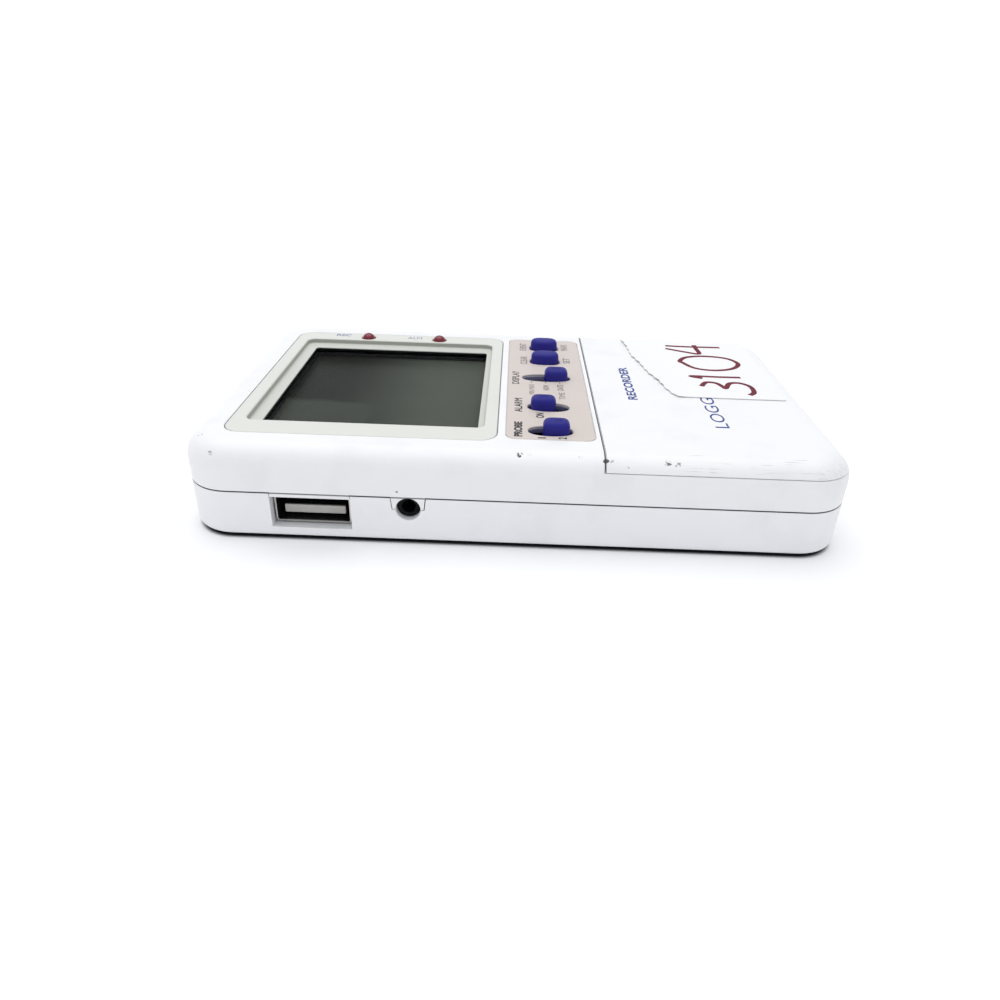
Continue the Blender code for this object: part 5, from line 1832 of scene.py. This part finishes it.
@dataclass
class Display:
    """The bezel with its recess, the window, the display cell and the signal lamps."""

    case: Case
    recess: Box = span(*mm(-48.3, -6.1, -23.1, 23.7, 16.3, 17.3))
    throat: Box = span(*mm(-45.9, -7.2, -21.8, 20.5, 15.0, 16.3))
    corner: float = 1.6 * MM
    tub_wall: float = 0.4 * MM
    ledge_low: float = 16.1 * MM
    film_top: float = 14.25 * MM
    lamp_radius: float = 1.5 * MM

    def build(self) -> None:
        """Models the display's pieces."""
        put(self.bezel(), GREY_GREEN, Body.CASE, ["lcd_bezel"])
        window = Box.of("lcd_window")
        clear = 0.03 * MM
        upper = self.gasket("display_gasket", window.high[Z] + clear, self.ledge_low - 0.01 * MM)
        put(upper, SATIN_BLACK, Body.CASE)
        lower = self.gasket("display_spacer", self.film_top + clear, window.low[Z] - clear)
        put(lower, SATIN_BLACK, Body.CASE)
        put(self.window(), CLEAR_ACRYLIC, Body.CASE, ["lcd_window"])
        put(self.cell(), LCD_FILM, Body.CASE, ["lcd_cell"])
        for node in LAMPS:
            put(self.lamp(node), LAMP_RESIN, Body.CASE, [node])
        words = lettering(
            "bezel_print",
            [
                Word("REC", mm(-40.9, 26.9), *mm(3.4, 1.5), 0.02, 0.0),
                Word("ALM", mm(-24.3, 26.5), *mm(3.3, 1.5), 0.0, 0.0),
            ],
            self.case.top,
            INK,
        )
        put(words, PALE_BLUE_INK, Body.CASE)

    def bezel(self) -> Piece:
        """The inlaid frame: a flange on a shallow tub, with a ledge inside."""
        top = self.case.top
        flange = Box.of("lcd_bezel").cut_to(Z, 16.35 * MM, top)
        bezel = block("bezel_frame", flange, 3.2 * MM, 10)
        bevel_edges(bezel, 0.22 * MM, 4, lies_at(Z, top))
        tub = self.recess.grown(self.tub_wall).cut_to(Z, 15.95 * MM, 16.8 * MM)
        weld(bezel, block("bezel_tub", tub, self.corner + self.tub_wall))
        pocket = self.throat.grown(1.0 * MM).cut_to(Z, 15 * MM, self.ledge_low)
        carve(
            bezel,
            mouth("bezel_recess", self.recess, self.corner, 0.2 * MM, 8),
            mouth("bezel_throat", self.throat, 0.6 * MM, 0.06 * MM, 4),
            block("gasket_pocket", pocket, 1.0 * MM, 6),
        )
        for lamp in LAMPS:
            x, y, _ = Box.of(lamp).centre
            carve(bezel, round_mouth("lamp_hole", LAMP_HOLE, (x, y, top), 3 * MM, 0.1 * MM))
        return bezel

    def gasket(self, name: str, low: float, high: float) -> Piece:
        """A black frame round the view, over or under the window.

        Args:
            name: Its name.
            low: Its lowest level.
            high: Its highest level.

        Returns:
            The frame.
        """
        gasket = block(name, self.throat.grown(0.9 * MM).cut_to(Z, low, high), 0.95 * MM, 6)
        inner = self.throat.grown(-0.04 * MM).cut_to(Z, low - 1 * MM, high + 1 * MM)
        carve(gasket, block("gasket_space", inner, 0.6 * MM, 4))
        return gasket

    def window(self) -> Piece:
        """The clear pane."""
        box = Box.of("lcd_window")
        pane = block("display_window", box, 1.4 * MM, 6)
        at_low, at_high = lies_at(Z, box.low[Z]), lies_at(Z, box.high[Z])
        bevel_edges(pane, 0.08 * MM, 2, lambda e: at_low(e) or at_high(e))
        return pane

    def cell(self) -> Piece:
        """The display glass, with its polariser standing up from it."""
        film = 0.15 * MM
        box = Box.of("lcd_cell").cut_to(Z, high=self.film_top - film)
        glass = block("display_cell", box, 0.4 * MM, 3)
        with editing(glass):
            pick(glass, "FACE", lies_at(Z, box.high[Z]))
            bpy.ops.mesh.inset(thickness=0.4 * MM)
            bpy.ops.mesh.extrude_region_move(TRANSFORM_OT_translate={"value": (0.0, 0.0, film)})
        return glass

    def lamp(self, node: str) -> Piece:
        """A flanged lamp with a domed top."""
        box = Box.of(node)
        x, y, _ = box.centre
        low, high = box.low[Z], box.high[Z]
        shoulder = high - self.lamp_radius
        dome = quarter(self.lamp_radius, shoulder, self.lamp_radius * 0.995, 9)
        flange, thick, soft = self.lamp_radius + 0.4 * MM, 0.8 * MM, 0.1 * MM
        foot = [(flange - soft, low), (flange, low + soft), (flange, low + thick)]
        sections = [*foot, (self.lamp_radius, low + thick), *dome]
        return turned(f"{node}_dome", sections, (x, y, 0.0))


class Slider(NamedTuple):
    """A slide knob: its name, its positions and its body."""

    name: str
    positions: int
    body: Body


SLIDERS = (
    Slider("display", 3, Body.DISPLAY),
    Slider("alarm", 2, Body.ALARM),
    Slider("probe", 2, Body.PROBE),
)
BUTTONS = (("event", Body.EVENT), ("clear", Body.CLEAR))


@dataclass
class Keypad:
    """The printed overlay, the press buttons and the slide knobs."""

    case: Case
    keys_x: float = 5.65 * MM
    overlay_top: float = 17.28 * MM
    button_top: float = 19.4 * MM
    button_low: float = 14.6 * MM
    knob_top: float = 19.6 * MM
    skirt: Pair = mm(13.2, 13.9)
    button_edge: float = 0.95 * MM
    button_squareness: float = 2.9
    knob_edge: float = 1.2 * MM
    knob_squareness: float = 4.5

    def build(self) -> None:
        """Models the keypad's pieces."""
        put(self.overlay(), BEIGE_FILM, Body.CASE, ["keypad_overlay"])
        self.print_words()
        for name, body in BUTTONS:
            put(self.button(name), KEY_BLUE, body, [f"{name}_button"])
        for slider in SLIDERS:
            put(self.knob(slider), KEY_BLUE, slider.body, [f"{slider.name}_knob"])

    @staticmethod
    def openings(low: float, high: float, undercut: float = 0.0) -> list[Piece]:
        """Cutters for the holes that the keys stand in.

        Args:
            low: The cutters' lowest level.
            high: Their highest level.
            undercut: How far a slider's slot widens below its rim.

        Returns:
            One cutter for each key.
        """
        middle, flare = Keypad.keys_x, 0.12 * MM
        surface, rim = Keypad.overlay_top, 16.75 * MM
        top = [(0.0, surface - flare), (-2 * flare, surface + flare), (-2 * flare, high)]
        cutters = []
        for name, _ in BUTTONS:
            y = Box.of(f"{name}_button").centre[Y]
            reach, power = mm(3.2, 2.2), Keypad.button_squareness
            cutters.append(oval(f"{name}_hole", (middle, y), reach, [(0.0, low), *top], power))
        for slider in SLIDERS:
            y = Box.of(f"{slider.name}_knob").centre[Y]
            reach = ((1.95 + slider.positions) * MM, 2.15 * MM)
            below = [(-undercut, low), (0.0, rim)] if undercut else [(0.0, low)]
            cutters.append(oval(f"{slider.name}_slot", (middle, y), reach, [*below, *top]))
        return cutters

    def overlay(self) -> Piece:
        """The printed film, with a hole for each key."""
        box = Box.of("keypad_overlay")
        film = block("keypad_film", box, 1.8 * MM, 8)
        bevel_edges(film, 0.05 * MM, 1, lies_at(Z, box.high[Z]))
        carve(film, *self.openings(box.low[Z] - self.case.past, box.high[Z] + self.case.past))
        return film

    def print_words(self) -> None:
        """Prints the switches' names and marks on the film."""
        top = self.overlay_top
        names = [
            Word("DISPLAY", mm(-0.6, 2.85), *mm(7.5, 1.45), 0.015),
            Word("ALARM", mm(0.02, -11.95), *mm(6.7, 1.4), 0.0),
            Word("PROBE", mm(-0.03, -23.1), *mm(6.4, 1.5), 0.05),
            Word("ON", mm(3.95, -16.7), *mm(2.4, 1.5), 0.03),
            Word("1", mm(4.06, -26.55), *mm(0.42, 1.35), 0.0),
            Word("2", mm(7.63, -26.45), *mm(0.75, 1.45), 0.03),
        ]
        heavier = [Word("ALARM", mm(-0.08, -12.03), *mm(6.7, 1.4))]
        prints = [
            lettering("names", names, top, INK),
            lettering("heavier", heavier, top, INK * 1.5),
        ]
        put(gather("switch_names", prints), BLACK_INK, Body.CASE)
        small = [
            Word("MIN MAX", mm(2.6, -3.6), *mm(5.6, 1.1), 0.0),
            Word("NOW", mm(5.5, -2.5), *mm(2.8, 1.2), 0.02),
            Word("DATE", mm(8.35, -2.2), *mm(3.2, 1.2), 0.02),
            Word("TIME", mm(8.5, -6.7), *mm(3.6, 1.2), 0.0),
            Word("EVENT", mm(0.95, 22.9), *mm(5.0, 1.5), 0.01),
            Word("MARK", mm(10.3, 23.4), *mm(4.4, 1.5), 0.0),
            Word("CLEAR", mm(1.1, 13.7), *mm(5.0, 1.5), 0.01),
            Word("SET", mm(10.4, 14.2), *mm(3.4, 1.5), 0.01),
        ]
        marks = lettering("switch_settings", small, top, INK)
        ticks = [
            cuboid("tick", Box.about((x * MM, 0.35 * MM), mm(0.22, 0.75), top, top + INK))
            for x in (2.6, 5.45, 8.35)
        ]
        put(gather("switch_settings", [marks, *ticks]), GREY_INK, Body.CASE)

    def button(self, name: str) -> Piece:
        """An oval push button on a flange."""
        place = (self.keys_x, Box.of(f"{name}_button").centre[Y])
        low, top, edge = self.button_low, self.button_top, self.button_edge
        draft, power = 0.06 * MM, self.button_squareness
        levels = [(0.0, low), (0.0, top - edge - 0.8 * MM)]
        levels += [(draft + inset, height) for inset, height in rounding(top - edge, edge, 8)[:-1]]
        levels += [(edge + draft, top), (edge + 0.9 * MM, top)]
        button = oval(f"{name}_push_button", place, mm(3, 2), levels, power)
        lip = [(0.0, low), (0.0, low + 0.6 * MM)]
        weld(button, oval("flange", place, mm(3.8, 2.8), lip, power))
        return button

    def knob(self, slider: Slider) -> Piece:
        """A slide knob: a ridged cap on a plate that hides the slot, with its actuator's pocket."""
        box = Box.of(f"{slider.name}_knob")
        x, y, _ = box.centre
        edge, ridge = self.knob_edge, 0.1 * MM
        crown = self.knob_top - ridge
        levels = [(0.0, self.skirt[0]), (0.0, crown - edge)]
        levels += rounding(crown - edge, edge, 9)[1:]
        reach = mm(2.35, 1.8)
        cap = oval(f"{slider.name}_slide_knob", (x, y), reach, levels, self.knob_squareness)
        for step in mm(-0.6, -0.2, 0.2, 0.6):
            size = mm(0.16, 1.0)
            place = Box.about((x + step, y), size, crown - 0.2 * MM, self.knob_top)
            weld(cap, block("rib", place, 0.05 * MM, 2, Y))
        plate = Box.about((x, y), box.size[:2], *self.skirt)
        weld(cap, block("skirt", plate, 1.4 * MM, 6))
        low, high = self.skirt
        pocket = Box.about((x, y), mm(2.4, 2.0), low - 1 * MM, high + 0.2 * MM)
        carve(cap, cuboid("pocket", pocket))
        return cap


@dataclass
class Sockets:
    """The USB socket and the two probe jacks."""

    case: Case
    sheet: float = 0.31 * MM
    jack_front: float = 31.8 * MM
    jack_nose: float = 1.95 * MM
    jack_bore: float = 1.2 * MM

    def build(self) -> None:
        """Models the sockets."""
        put(self.usb_shell(), SOCKET_STEEL, Body.CASE, ["usb_shell"])
        put(self.usb_tongue(), TONGUE_RESIN, Body.CASE, ["usb_tongue"])
        put(self.usb_strips(), GOLD_STRIP, Body.CASE)
        for number, side in ((1, -1), (2, 1)):
            node = f"probe_jack_{number}"
            put(self.jack(number, side), JACK_BLACK, Body.CASE, [node])

    def usb_shell(self) -> Piece:
        """The bent-sheet shell, open in front, with rounded bends and a soft front edge."""
        box = Box.of("usb_shell")
        shell = block("usb_sheet_shell", box, 0.55 * MM, 6, Y)
        bevel_edges(shell, 0.08 * MM, 2, lies_at(Y, box.low[Y]))
        (left, near, low), (right, far, high) = box
        inside = span(
            left + self.sheet,
            right - self.sheet,
            near - self.case.past,
            far - self.sheet,
            low + self.sheet,
            high - self.sheet,
        )
        carve(shell, block("usb_space", inside, 0.3 * MM, 4, Y))
        for side in (-1, 1):
            x = box.centre[X] + side * 3.2 * MM
            hole = span(x - 1.0 * MM, x + 1.0 * MM, near + 3 * MM, near + 8 * MM, high, high)
            leaf = span(x - 0.7 * MM, x + 0.7 * MM, near + 3.3 * MM, near + 9 * MM, high, high)
            heights = (high - 1 * MM, high + 1 * MM)
            slot = cuboid("spring_slot", hole.cut_to(Z, *heights))
            carve(slot, cuboid("spring_leaf", leaf.cut_to(Z, *heights)))
            carve(shell, slot)
        return shell

    def usb_tongue(self) -> Piece:
        """The plug's tongue on its root, with rounded edges and grooves for the contacts."""
        shell, tongue = Box.of("usb_shell"), Box.of("usb_tongue")
        x = shell.centre[X]
        root_front = shell.high[Y] - self.sheet - 3 * MM
        front = tongue.low[Y] + 0.8 * MM
        blade = span(x - 5.3 * MM, x + 5.3 * MM, front, root_front + 1 * MM, 3.84 * MM, 5.4 * MM)
        piece = block("usb_contact_tongue", blade, 0.2 * MM, 3, Y)
        bevel_edges(piece, 0.12 * MM, 3, lies_at(Y, front))
        root = tongue.cut_to(Y, low=root_front)
        weld(piece, block("tongue_root", root, 0.2 * MM, 2, Y))
        near, far = blade.low[Y] + 1 * MM, root_front - 0.2 * MM
        for middle in self.strip_places(x):
            left, right = middle - 0.6 * MM, middle + 0.6 * MM
            carve(piece, cuboid("groove", span(left, right, near, far, 5.26 * MM, 6.5 * MM)))
        return piece

    @staticmethod
    def strip_places(x: float) -> list[float]:
        """Where the four contacts run."""
        return [x + step * MM for step in (-3.5, -1.0, 1.0, 3.5)]

    def usb_strips(self) -> Piece:
        """The four spring contacts on the tongue."""
        shell, tongue = Box.of("usb_shell"), Box.of("usb_tongue")
        near, far = tongue.low[Y] + 2.0 * MM, shell.high[Y] - self.sheet - 3.4 * MM
        strips = []
        for middle in self.strip_places(shell.centre[X]):
            left, right = middle - 0.5 * MM, middle + 0.5 * MM
            box = span(left, right, near, far, 5.27 * MM, 5.44 * MM)
            strips.append(block("strip", box, 0.06 * MM, 2, Y))
        return gather("usb_contact_strips", strips)

    def jack(self, number: int, side: int) -> Piece:
        """A jack: a square body with a round nose that fills the case's hole.

        Args:
            number: The jack's number.
            side: -1 for the near wall, 1 for the far one.

        Returns:
            The jack.
        """
        box = Box.of(f"probe_jack_{number}")
        front, edge = self.jack_front, 0.12 * MM
        back, tip = sorted((abs(box.low[Y]), abs(box.high[Y])))
        body_faces = sorted((side * front, side * back))
        body = block(f"probe_socket_{number}", box.cut_to(Y, *body_faces), 0.4 * MM, 4, Y)
        place = (box.centre[X], 0.0, box.centre[Z])
        turn = AWAY if side > 0 else TOWARDS
        nose = [(self.jack_nose, front - 1 * MM), *quarter(self.jack_nose, tip - edge, edge, 3)]
        weld(body, turned("jack_nose", nose, place, turn))
        hollow = [
            (self.jack_bore, back + 1 * MM),
            (self.jack_bore, tip - 0.08 * MM),
            (self.jack_bore + 0.2 * MM, tip + edge),
        ]
        carve(body, turned("jack_bore", hollow, place, turn))
        return body


@dataclass
class PowerBay:
    """The two cells and the coil contacts behind them."""

    sleeve_radius: float = 5.25 * MM
    wire: float = 0.25 * MM
    turns: int = 3

    def build(self) -> None:
        """Models the cells and the springs."""
        for number, side in ((1, 1), (2, -1)):
            cell, caps = self.cell(number, side)
            put(cell, CELL_SLEEVE, Body.CASE, [f"battery_{number}"])
            put(caps, PLATED_STEEL, Body.CASE)
        for number, side in ((1, -1), (2, 1)):
            node = f"contact_spring_{number}"
            put(self.spring(number, side), PLATED_STEEL, Body.CASE, [node])

    def cell(self, number: int, side: int) -> tuple[Piece, Piece]:
        """A cell's sleeve, and its bare ends.

        Args:
            number: The cell's number.
            side: 1 when its nub points away, -1 when it points nearer.

        Returns:
            The sleeve and the two ends.
        """
        box = Box.of(f"battery_{number}")
        place = box.centre
        half = box.size[Y] / 2
        turn = AWAY if side > 0 else TOWARDS
        radius = self.sleeve_radius
        low_edge = quarter(radius, -half + 0.05 * MM, 0.45 * MM, 4, rising=False)
        high_edge = quarter(radius, half - 1.65 * MM, 0.55 * MM, 4)
        sleeve = turned(f"cell_sleeve_{number}", [*low_edge, *high_edge], place, turn, 56)
        nub = quarter(1.9 * MM, half - 0.3 * MM, 0.28 * MM, 4)
        cap = [mm(3.6, 1.2), mm(3.5, 0.98), mm(1.95, 0.9)]
        cap = [(reach, half - below) for reach, below in cap]
        top = turned("nub", [*cap, *nub], place, turn)
        base = turned("base", [(3.9 * MM, -half), (4.2 * MM, -half + 0.12 * MM)], place, turn)
        return sleeve, gather(f"cell_ends_{number}", [top, base])

    def spring(self, number: int, side: int) -> Piece:
        """A coil that widens towards its plate.

        Args:
            number: The spring's number.
            side: 1 when its plate is on the far side, -1 on the near side.

        Returns:
            The coil.
        """
        box = Box.of(f"contact_spring_{number}")
        x, _, z = Box.of(f"battery_{number}").centre
        near, far = sorted((abs(box.low[Y]), abs(box.high[Y])))
        start, end = near + self.wire, far - self.wire
        steps = self.turns * 28
        points = []
        for step in range(steps + 1):
            share = step / steps
            angle = math.tau * self.turns * share
            radius = (1.8 + 1.2 * share) * MM
            y = side * (start + (end - start) * share)
            points.append((x + radius * math.cos(angle), y, z + radius * math.sin(angle)))
        return tube(f"coil_{number}", points, self.wire, 3)


@dataclass
class Underside:
    """The case screws in their recesses and the feet."""

    head: float = 2.4 * MM
    head_height: float = 1.3 * MM
    shank: float = 1.2 * MM
    thread_depth: float = 0.22 * MM
    thread_step: float = 0.8 * MM

    def build(self) -> None:
        """Models the screws and the feet."""
        for number in range(1, 5):
            node = f"case_screw_{number}"
            put(self.screw(node), PLATED_STEEL, Body.CASE, [node])
        for number in range(1, 5):
            node = f"foot_{number}"
            put(self.foot(node), RUBBER, Body.CASE, [node])

    def screw(self, node: str) -> Piece:
        """A slotted pan-head screw, head down, with thread rings."""
        box = Box.of(node)
        x, y, _ = box.centre
        low, length, shank = box.low[Z], box.high[Z] - box.low[Z], self.shank
        edge = quarter(self.head, 0.0, 0.35 * MM, 5, rising=False)
        sections = [*edge, (self.head, self.head_height), (shank, self.head_height)]
        level = self.head_height + 0.6 * MM
        while level + self.thread_step < length - shank:
            sections.append((shank - self.thread_depth, level + 0.1 * MM))
            sections += [(shank, level + 0.4 * MM), (shank, level + 0.5 * MM)]
            level += self.thread_step
        sections += [(shank * 0.8, length - shank), (shank / 3, length)]
        screw = turned(f"{node}_slotted", sections, (x, y, low), sides=32)
        size = (2 * self.head + 1 * MM, 0.8 * MM)
        carve(screw, cuboid("driver_slot", Box.about((x, y), size, low - 1 * MM, low + 0.6 * MM)))
        return screw

    def foot(self, node: str) -> Piece:
        """A stick-on foot with a rounded rim and a shallow dish."""
        box = Box.of(node)
        x, y, _ = box.centre
        radius = box.size[X] / 2
        rim = quarter(radius, 0.0, 0.4 * MM, 5, rising=False)
        dish = [(radius - 1.5 * MM, 0.12 * MM), (radius - 1.1 * MM, 0.0)]
        return turned(f"{node}_pad", [*dish, *rim, (radius, box.high[Z])], (x, y, 0.0), sides=48)


@dataclass
class CarriedParts:
    """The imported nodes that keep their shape: what each of them wears."""

    finishes: dict[Finish, tuple[str, ...]] = field(
        default_factory=lambda: {
            SATIN_BLACK: (
                "lcd_holder",
                "buzzer",
                "negative_wire",
                "event_plunger",
                "clear_plunger",
                *(f"{slider.name}_actuator" for slider in SLIDERS),
            ),
            ZEBRA_RUBBER: ("elastomer_near", "elastomer_far"),
            INNER_ABS: ("record_lamp_spacer", "alert_lamp_spacer"),
            BOARD_GREEN: ("main_board",),
            WIRE_RED: ("positive_wire",),
            CAN_STEEL: ("crystal_can",),
        }
    )

    def build(self) -> None:
        """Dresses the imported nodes; those that are not named wear resin or steel."""
        for finish, names in self.finishes.items():
            for name in names:
                finish.dress(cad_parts[name])
                LOG.info("%s wears %s", name, finish.name)
        dressed = {name for names in self.finishes.values() for name in names}
        for name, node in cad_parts.items():
            if name not in dressed:
                finish = CHIP_RESIN if "chip" in name else PLATED_STEEL
                finish.dress(node)


@dataclass
class Studio:
    """The floor, the backdrop, the lights and the camera. Turns are in degrees."""

    floor_reach: float = 6.0
    backdrop_distance: float = 2.2
    backdrop_height: float = 0.42
    camera_place: Point = mm(-1.911, -144.202, 71.218)
    camera_turn: Point = (60.510, -1.686, 1.374)
    lens: float = 27.0
    world: Colour = (0.93, 0.95, 1.0)
    world_strength: float = 0.66
    overhead_power: float = 6.0
    overhead_place: Point = (-0.1, 0.15, 0.9)
    overhead_turn: Point = (-9.0, -6.0, 0.0)
    overhead_size: float = 1.1
    # Painted shadow under the case: its distance from the case's inner box where it starts and where
    # it is full.
    painted_shadow_fade: Pair = mm(8.15, 7.0)

    def build(self) -> None:
        """Sets the stage."""
        self.add_floor()
        self.add_lights()
        self.add_camera()
        settings = bpy.context.scene.view_settings
        settings.view_transform = "Standard"
        settings.look = "None"

    def add_floor(self) -> None:
        """A pale table that turns up into a low backdrop, with a painted shadow right under the case
        and its glow painted weaker near the case.
        """
        clear_selection()
        bpy.ops.mesh.primitive_plane_add(size=self.floor_reach, location=(0.0, 0.0, 0.0))
        floor = newly_made("studio_table")
        back = self.floor_reach / 2
        with editing(floor):
            pick(floor, "EDGE", lies_at(Y, back))
            bpy.ops.transform.translate(value=(0.0, self.backdrop_distance - back, 0.0))
            step = (0.0, 0.0, self.backdrop_height)
            bpy.ops.mesh.extrude_region_move(TRANSFORM_OT_translate={"value": step})
        shader = Shader("studio_white")
        soft = shader.noise(0.5, 2.0)
        pale = shader.blend(soft, (0.93, 0.93, 0.935), (0.95, 0.95, 0.955))
        # Painted shadow: the table turns near black under the case and fades out just past its edge.
        inner = Box.of("bottom_case").grown(-Case.corner).high
        x, y = ((abs(shader.along(axis)) - inner[axis]).at_least(0.0) for axis in (X, Y))
        under = ((x**2.0 + y**2.0) ** 0.5).rise(*self.painted_shadow_fade)
        # Painted shade: the table's glow is weak near the case and grows further away.
        settings = {"operation": "LENGTH"}
        away = shader.node("ShaderNodeVectorMath", settings, {0: shader.spot()}, "Value")
        glow = away.rise(0.1, 0.5) * 0.3 + 0.05
        shader.wear(
            Base_Color=shader.blend(under, pale, (0.025, 0.025, 0.03)),
            Roughness=0.75,
            Specular_IOR_Level=0.1,
            Emission_Color=shader.blend(glow * (1.0 - under), (0.0, 0.0, 0.0), (1.0, 1.0, 1.0)),
            Emission_Strength=1.0,
        )
        floor.data.materials.append(shader.material)

    def add_lights(self) -> None:
        """An even sky and one large soft light overhead."""
        world = bpy.data.worlds.new("studio_sky")
        world.use_nodes = True
        sky = world.node_tree.nodes["Background"]
        sky.inputs["Color"].default_value = (*self.world, 1.0)
        sky.inputs["Strength"].default_value = self.world_strength
        bpy.context.scene.world = world
        clear_selection()
        bpy.ops.object.light_add(type="AREA", location=self.overhead_place)
        lamp = bpy.context.object
        lamp.name = "overhead_light"
        lamp.data.shape = "SQUARE"
        lamp.data.size = self.overhead_size
        lamp.data.energy = self.overhead_power
        lamp.data.color = (1.0, 0.99, 0.97)
        lamp.rotation_euler = tuple(math.radians(angle) for angle in self.overhead_turn)

    def add_camera(self) -> None:
        """The camera, low in front of the socket side."""
        clear_selection()
        turn = tuple(math.radians(angle) for angle in self.camera_turn)
        bpy.ops.object.camera_add(location=self.camera_place, rotation=turn)
        camera = bpy.context.object
        camera.data.lens = self.lens
        camera.data.sensor_width = 36.0
        camera.data.sensor_fit = "HORIZONTAL"
        camera.data.clip_start = 0.01
        camera.data.clip_end = 50.0
        bpy.context.scene.camera = camera


def main() -> None:
    """Builds every sub-assembly in order."""
    logging.basicConfig(level=logging.INFO, format="%(name)s: %(message)s")
    case = Case()
    assemblies = (
        CaseShells(case),
        BatteryCover(case),
        Display(case),
        Keypad(case),
        Sockets(case),
        PowerBay(),
        Underside(),
        CarriedParts(),
        Studio(),
    )
    for assembly in assemblies:
        LOG.info("building %s", type(assembly).__name__)
        assembly.build()


if __name__ == "__main__":
    main()
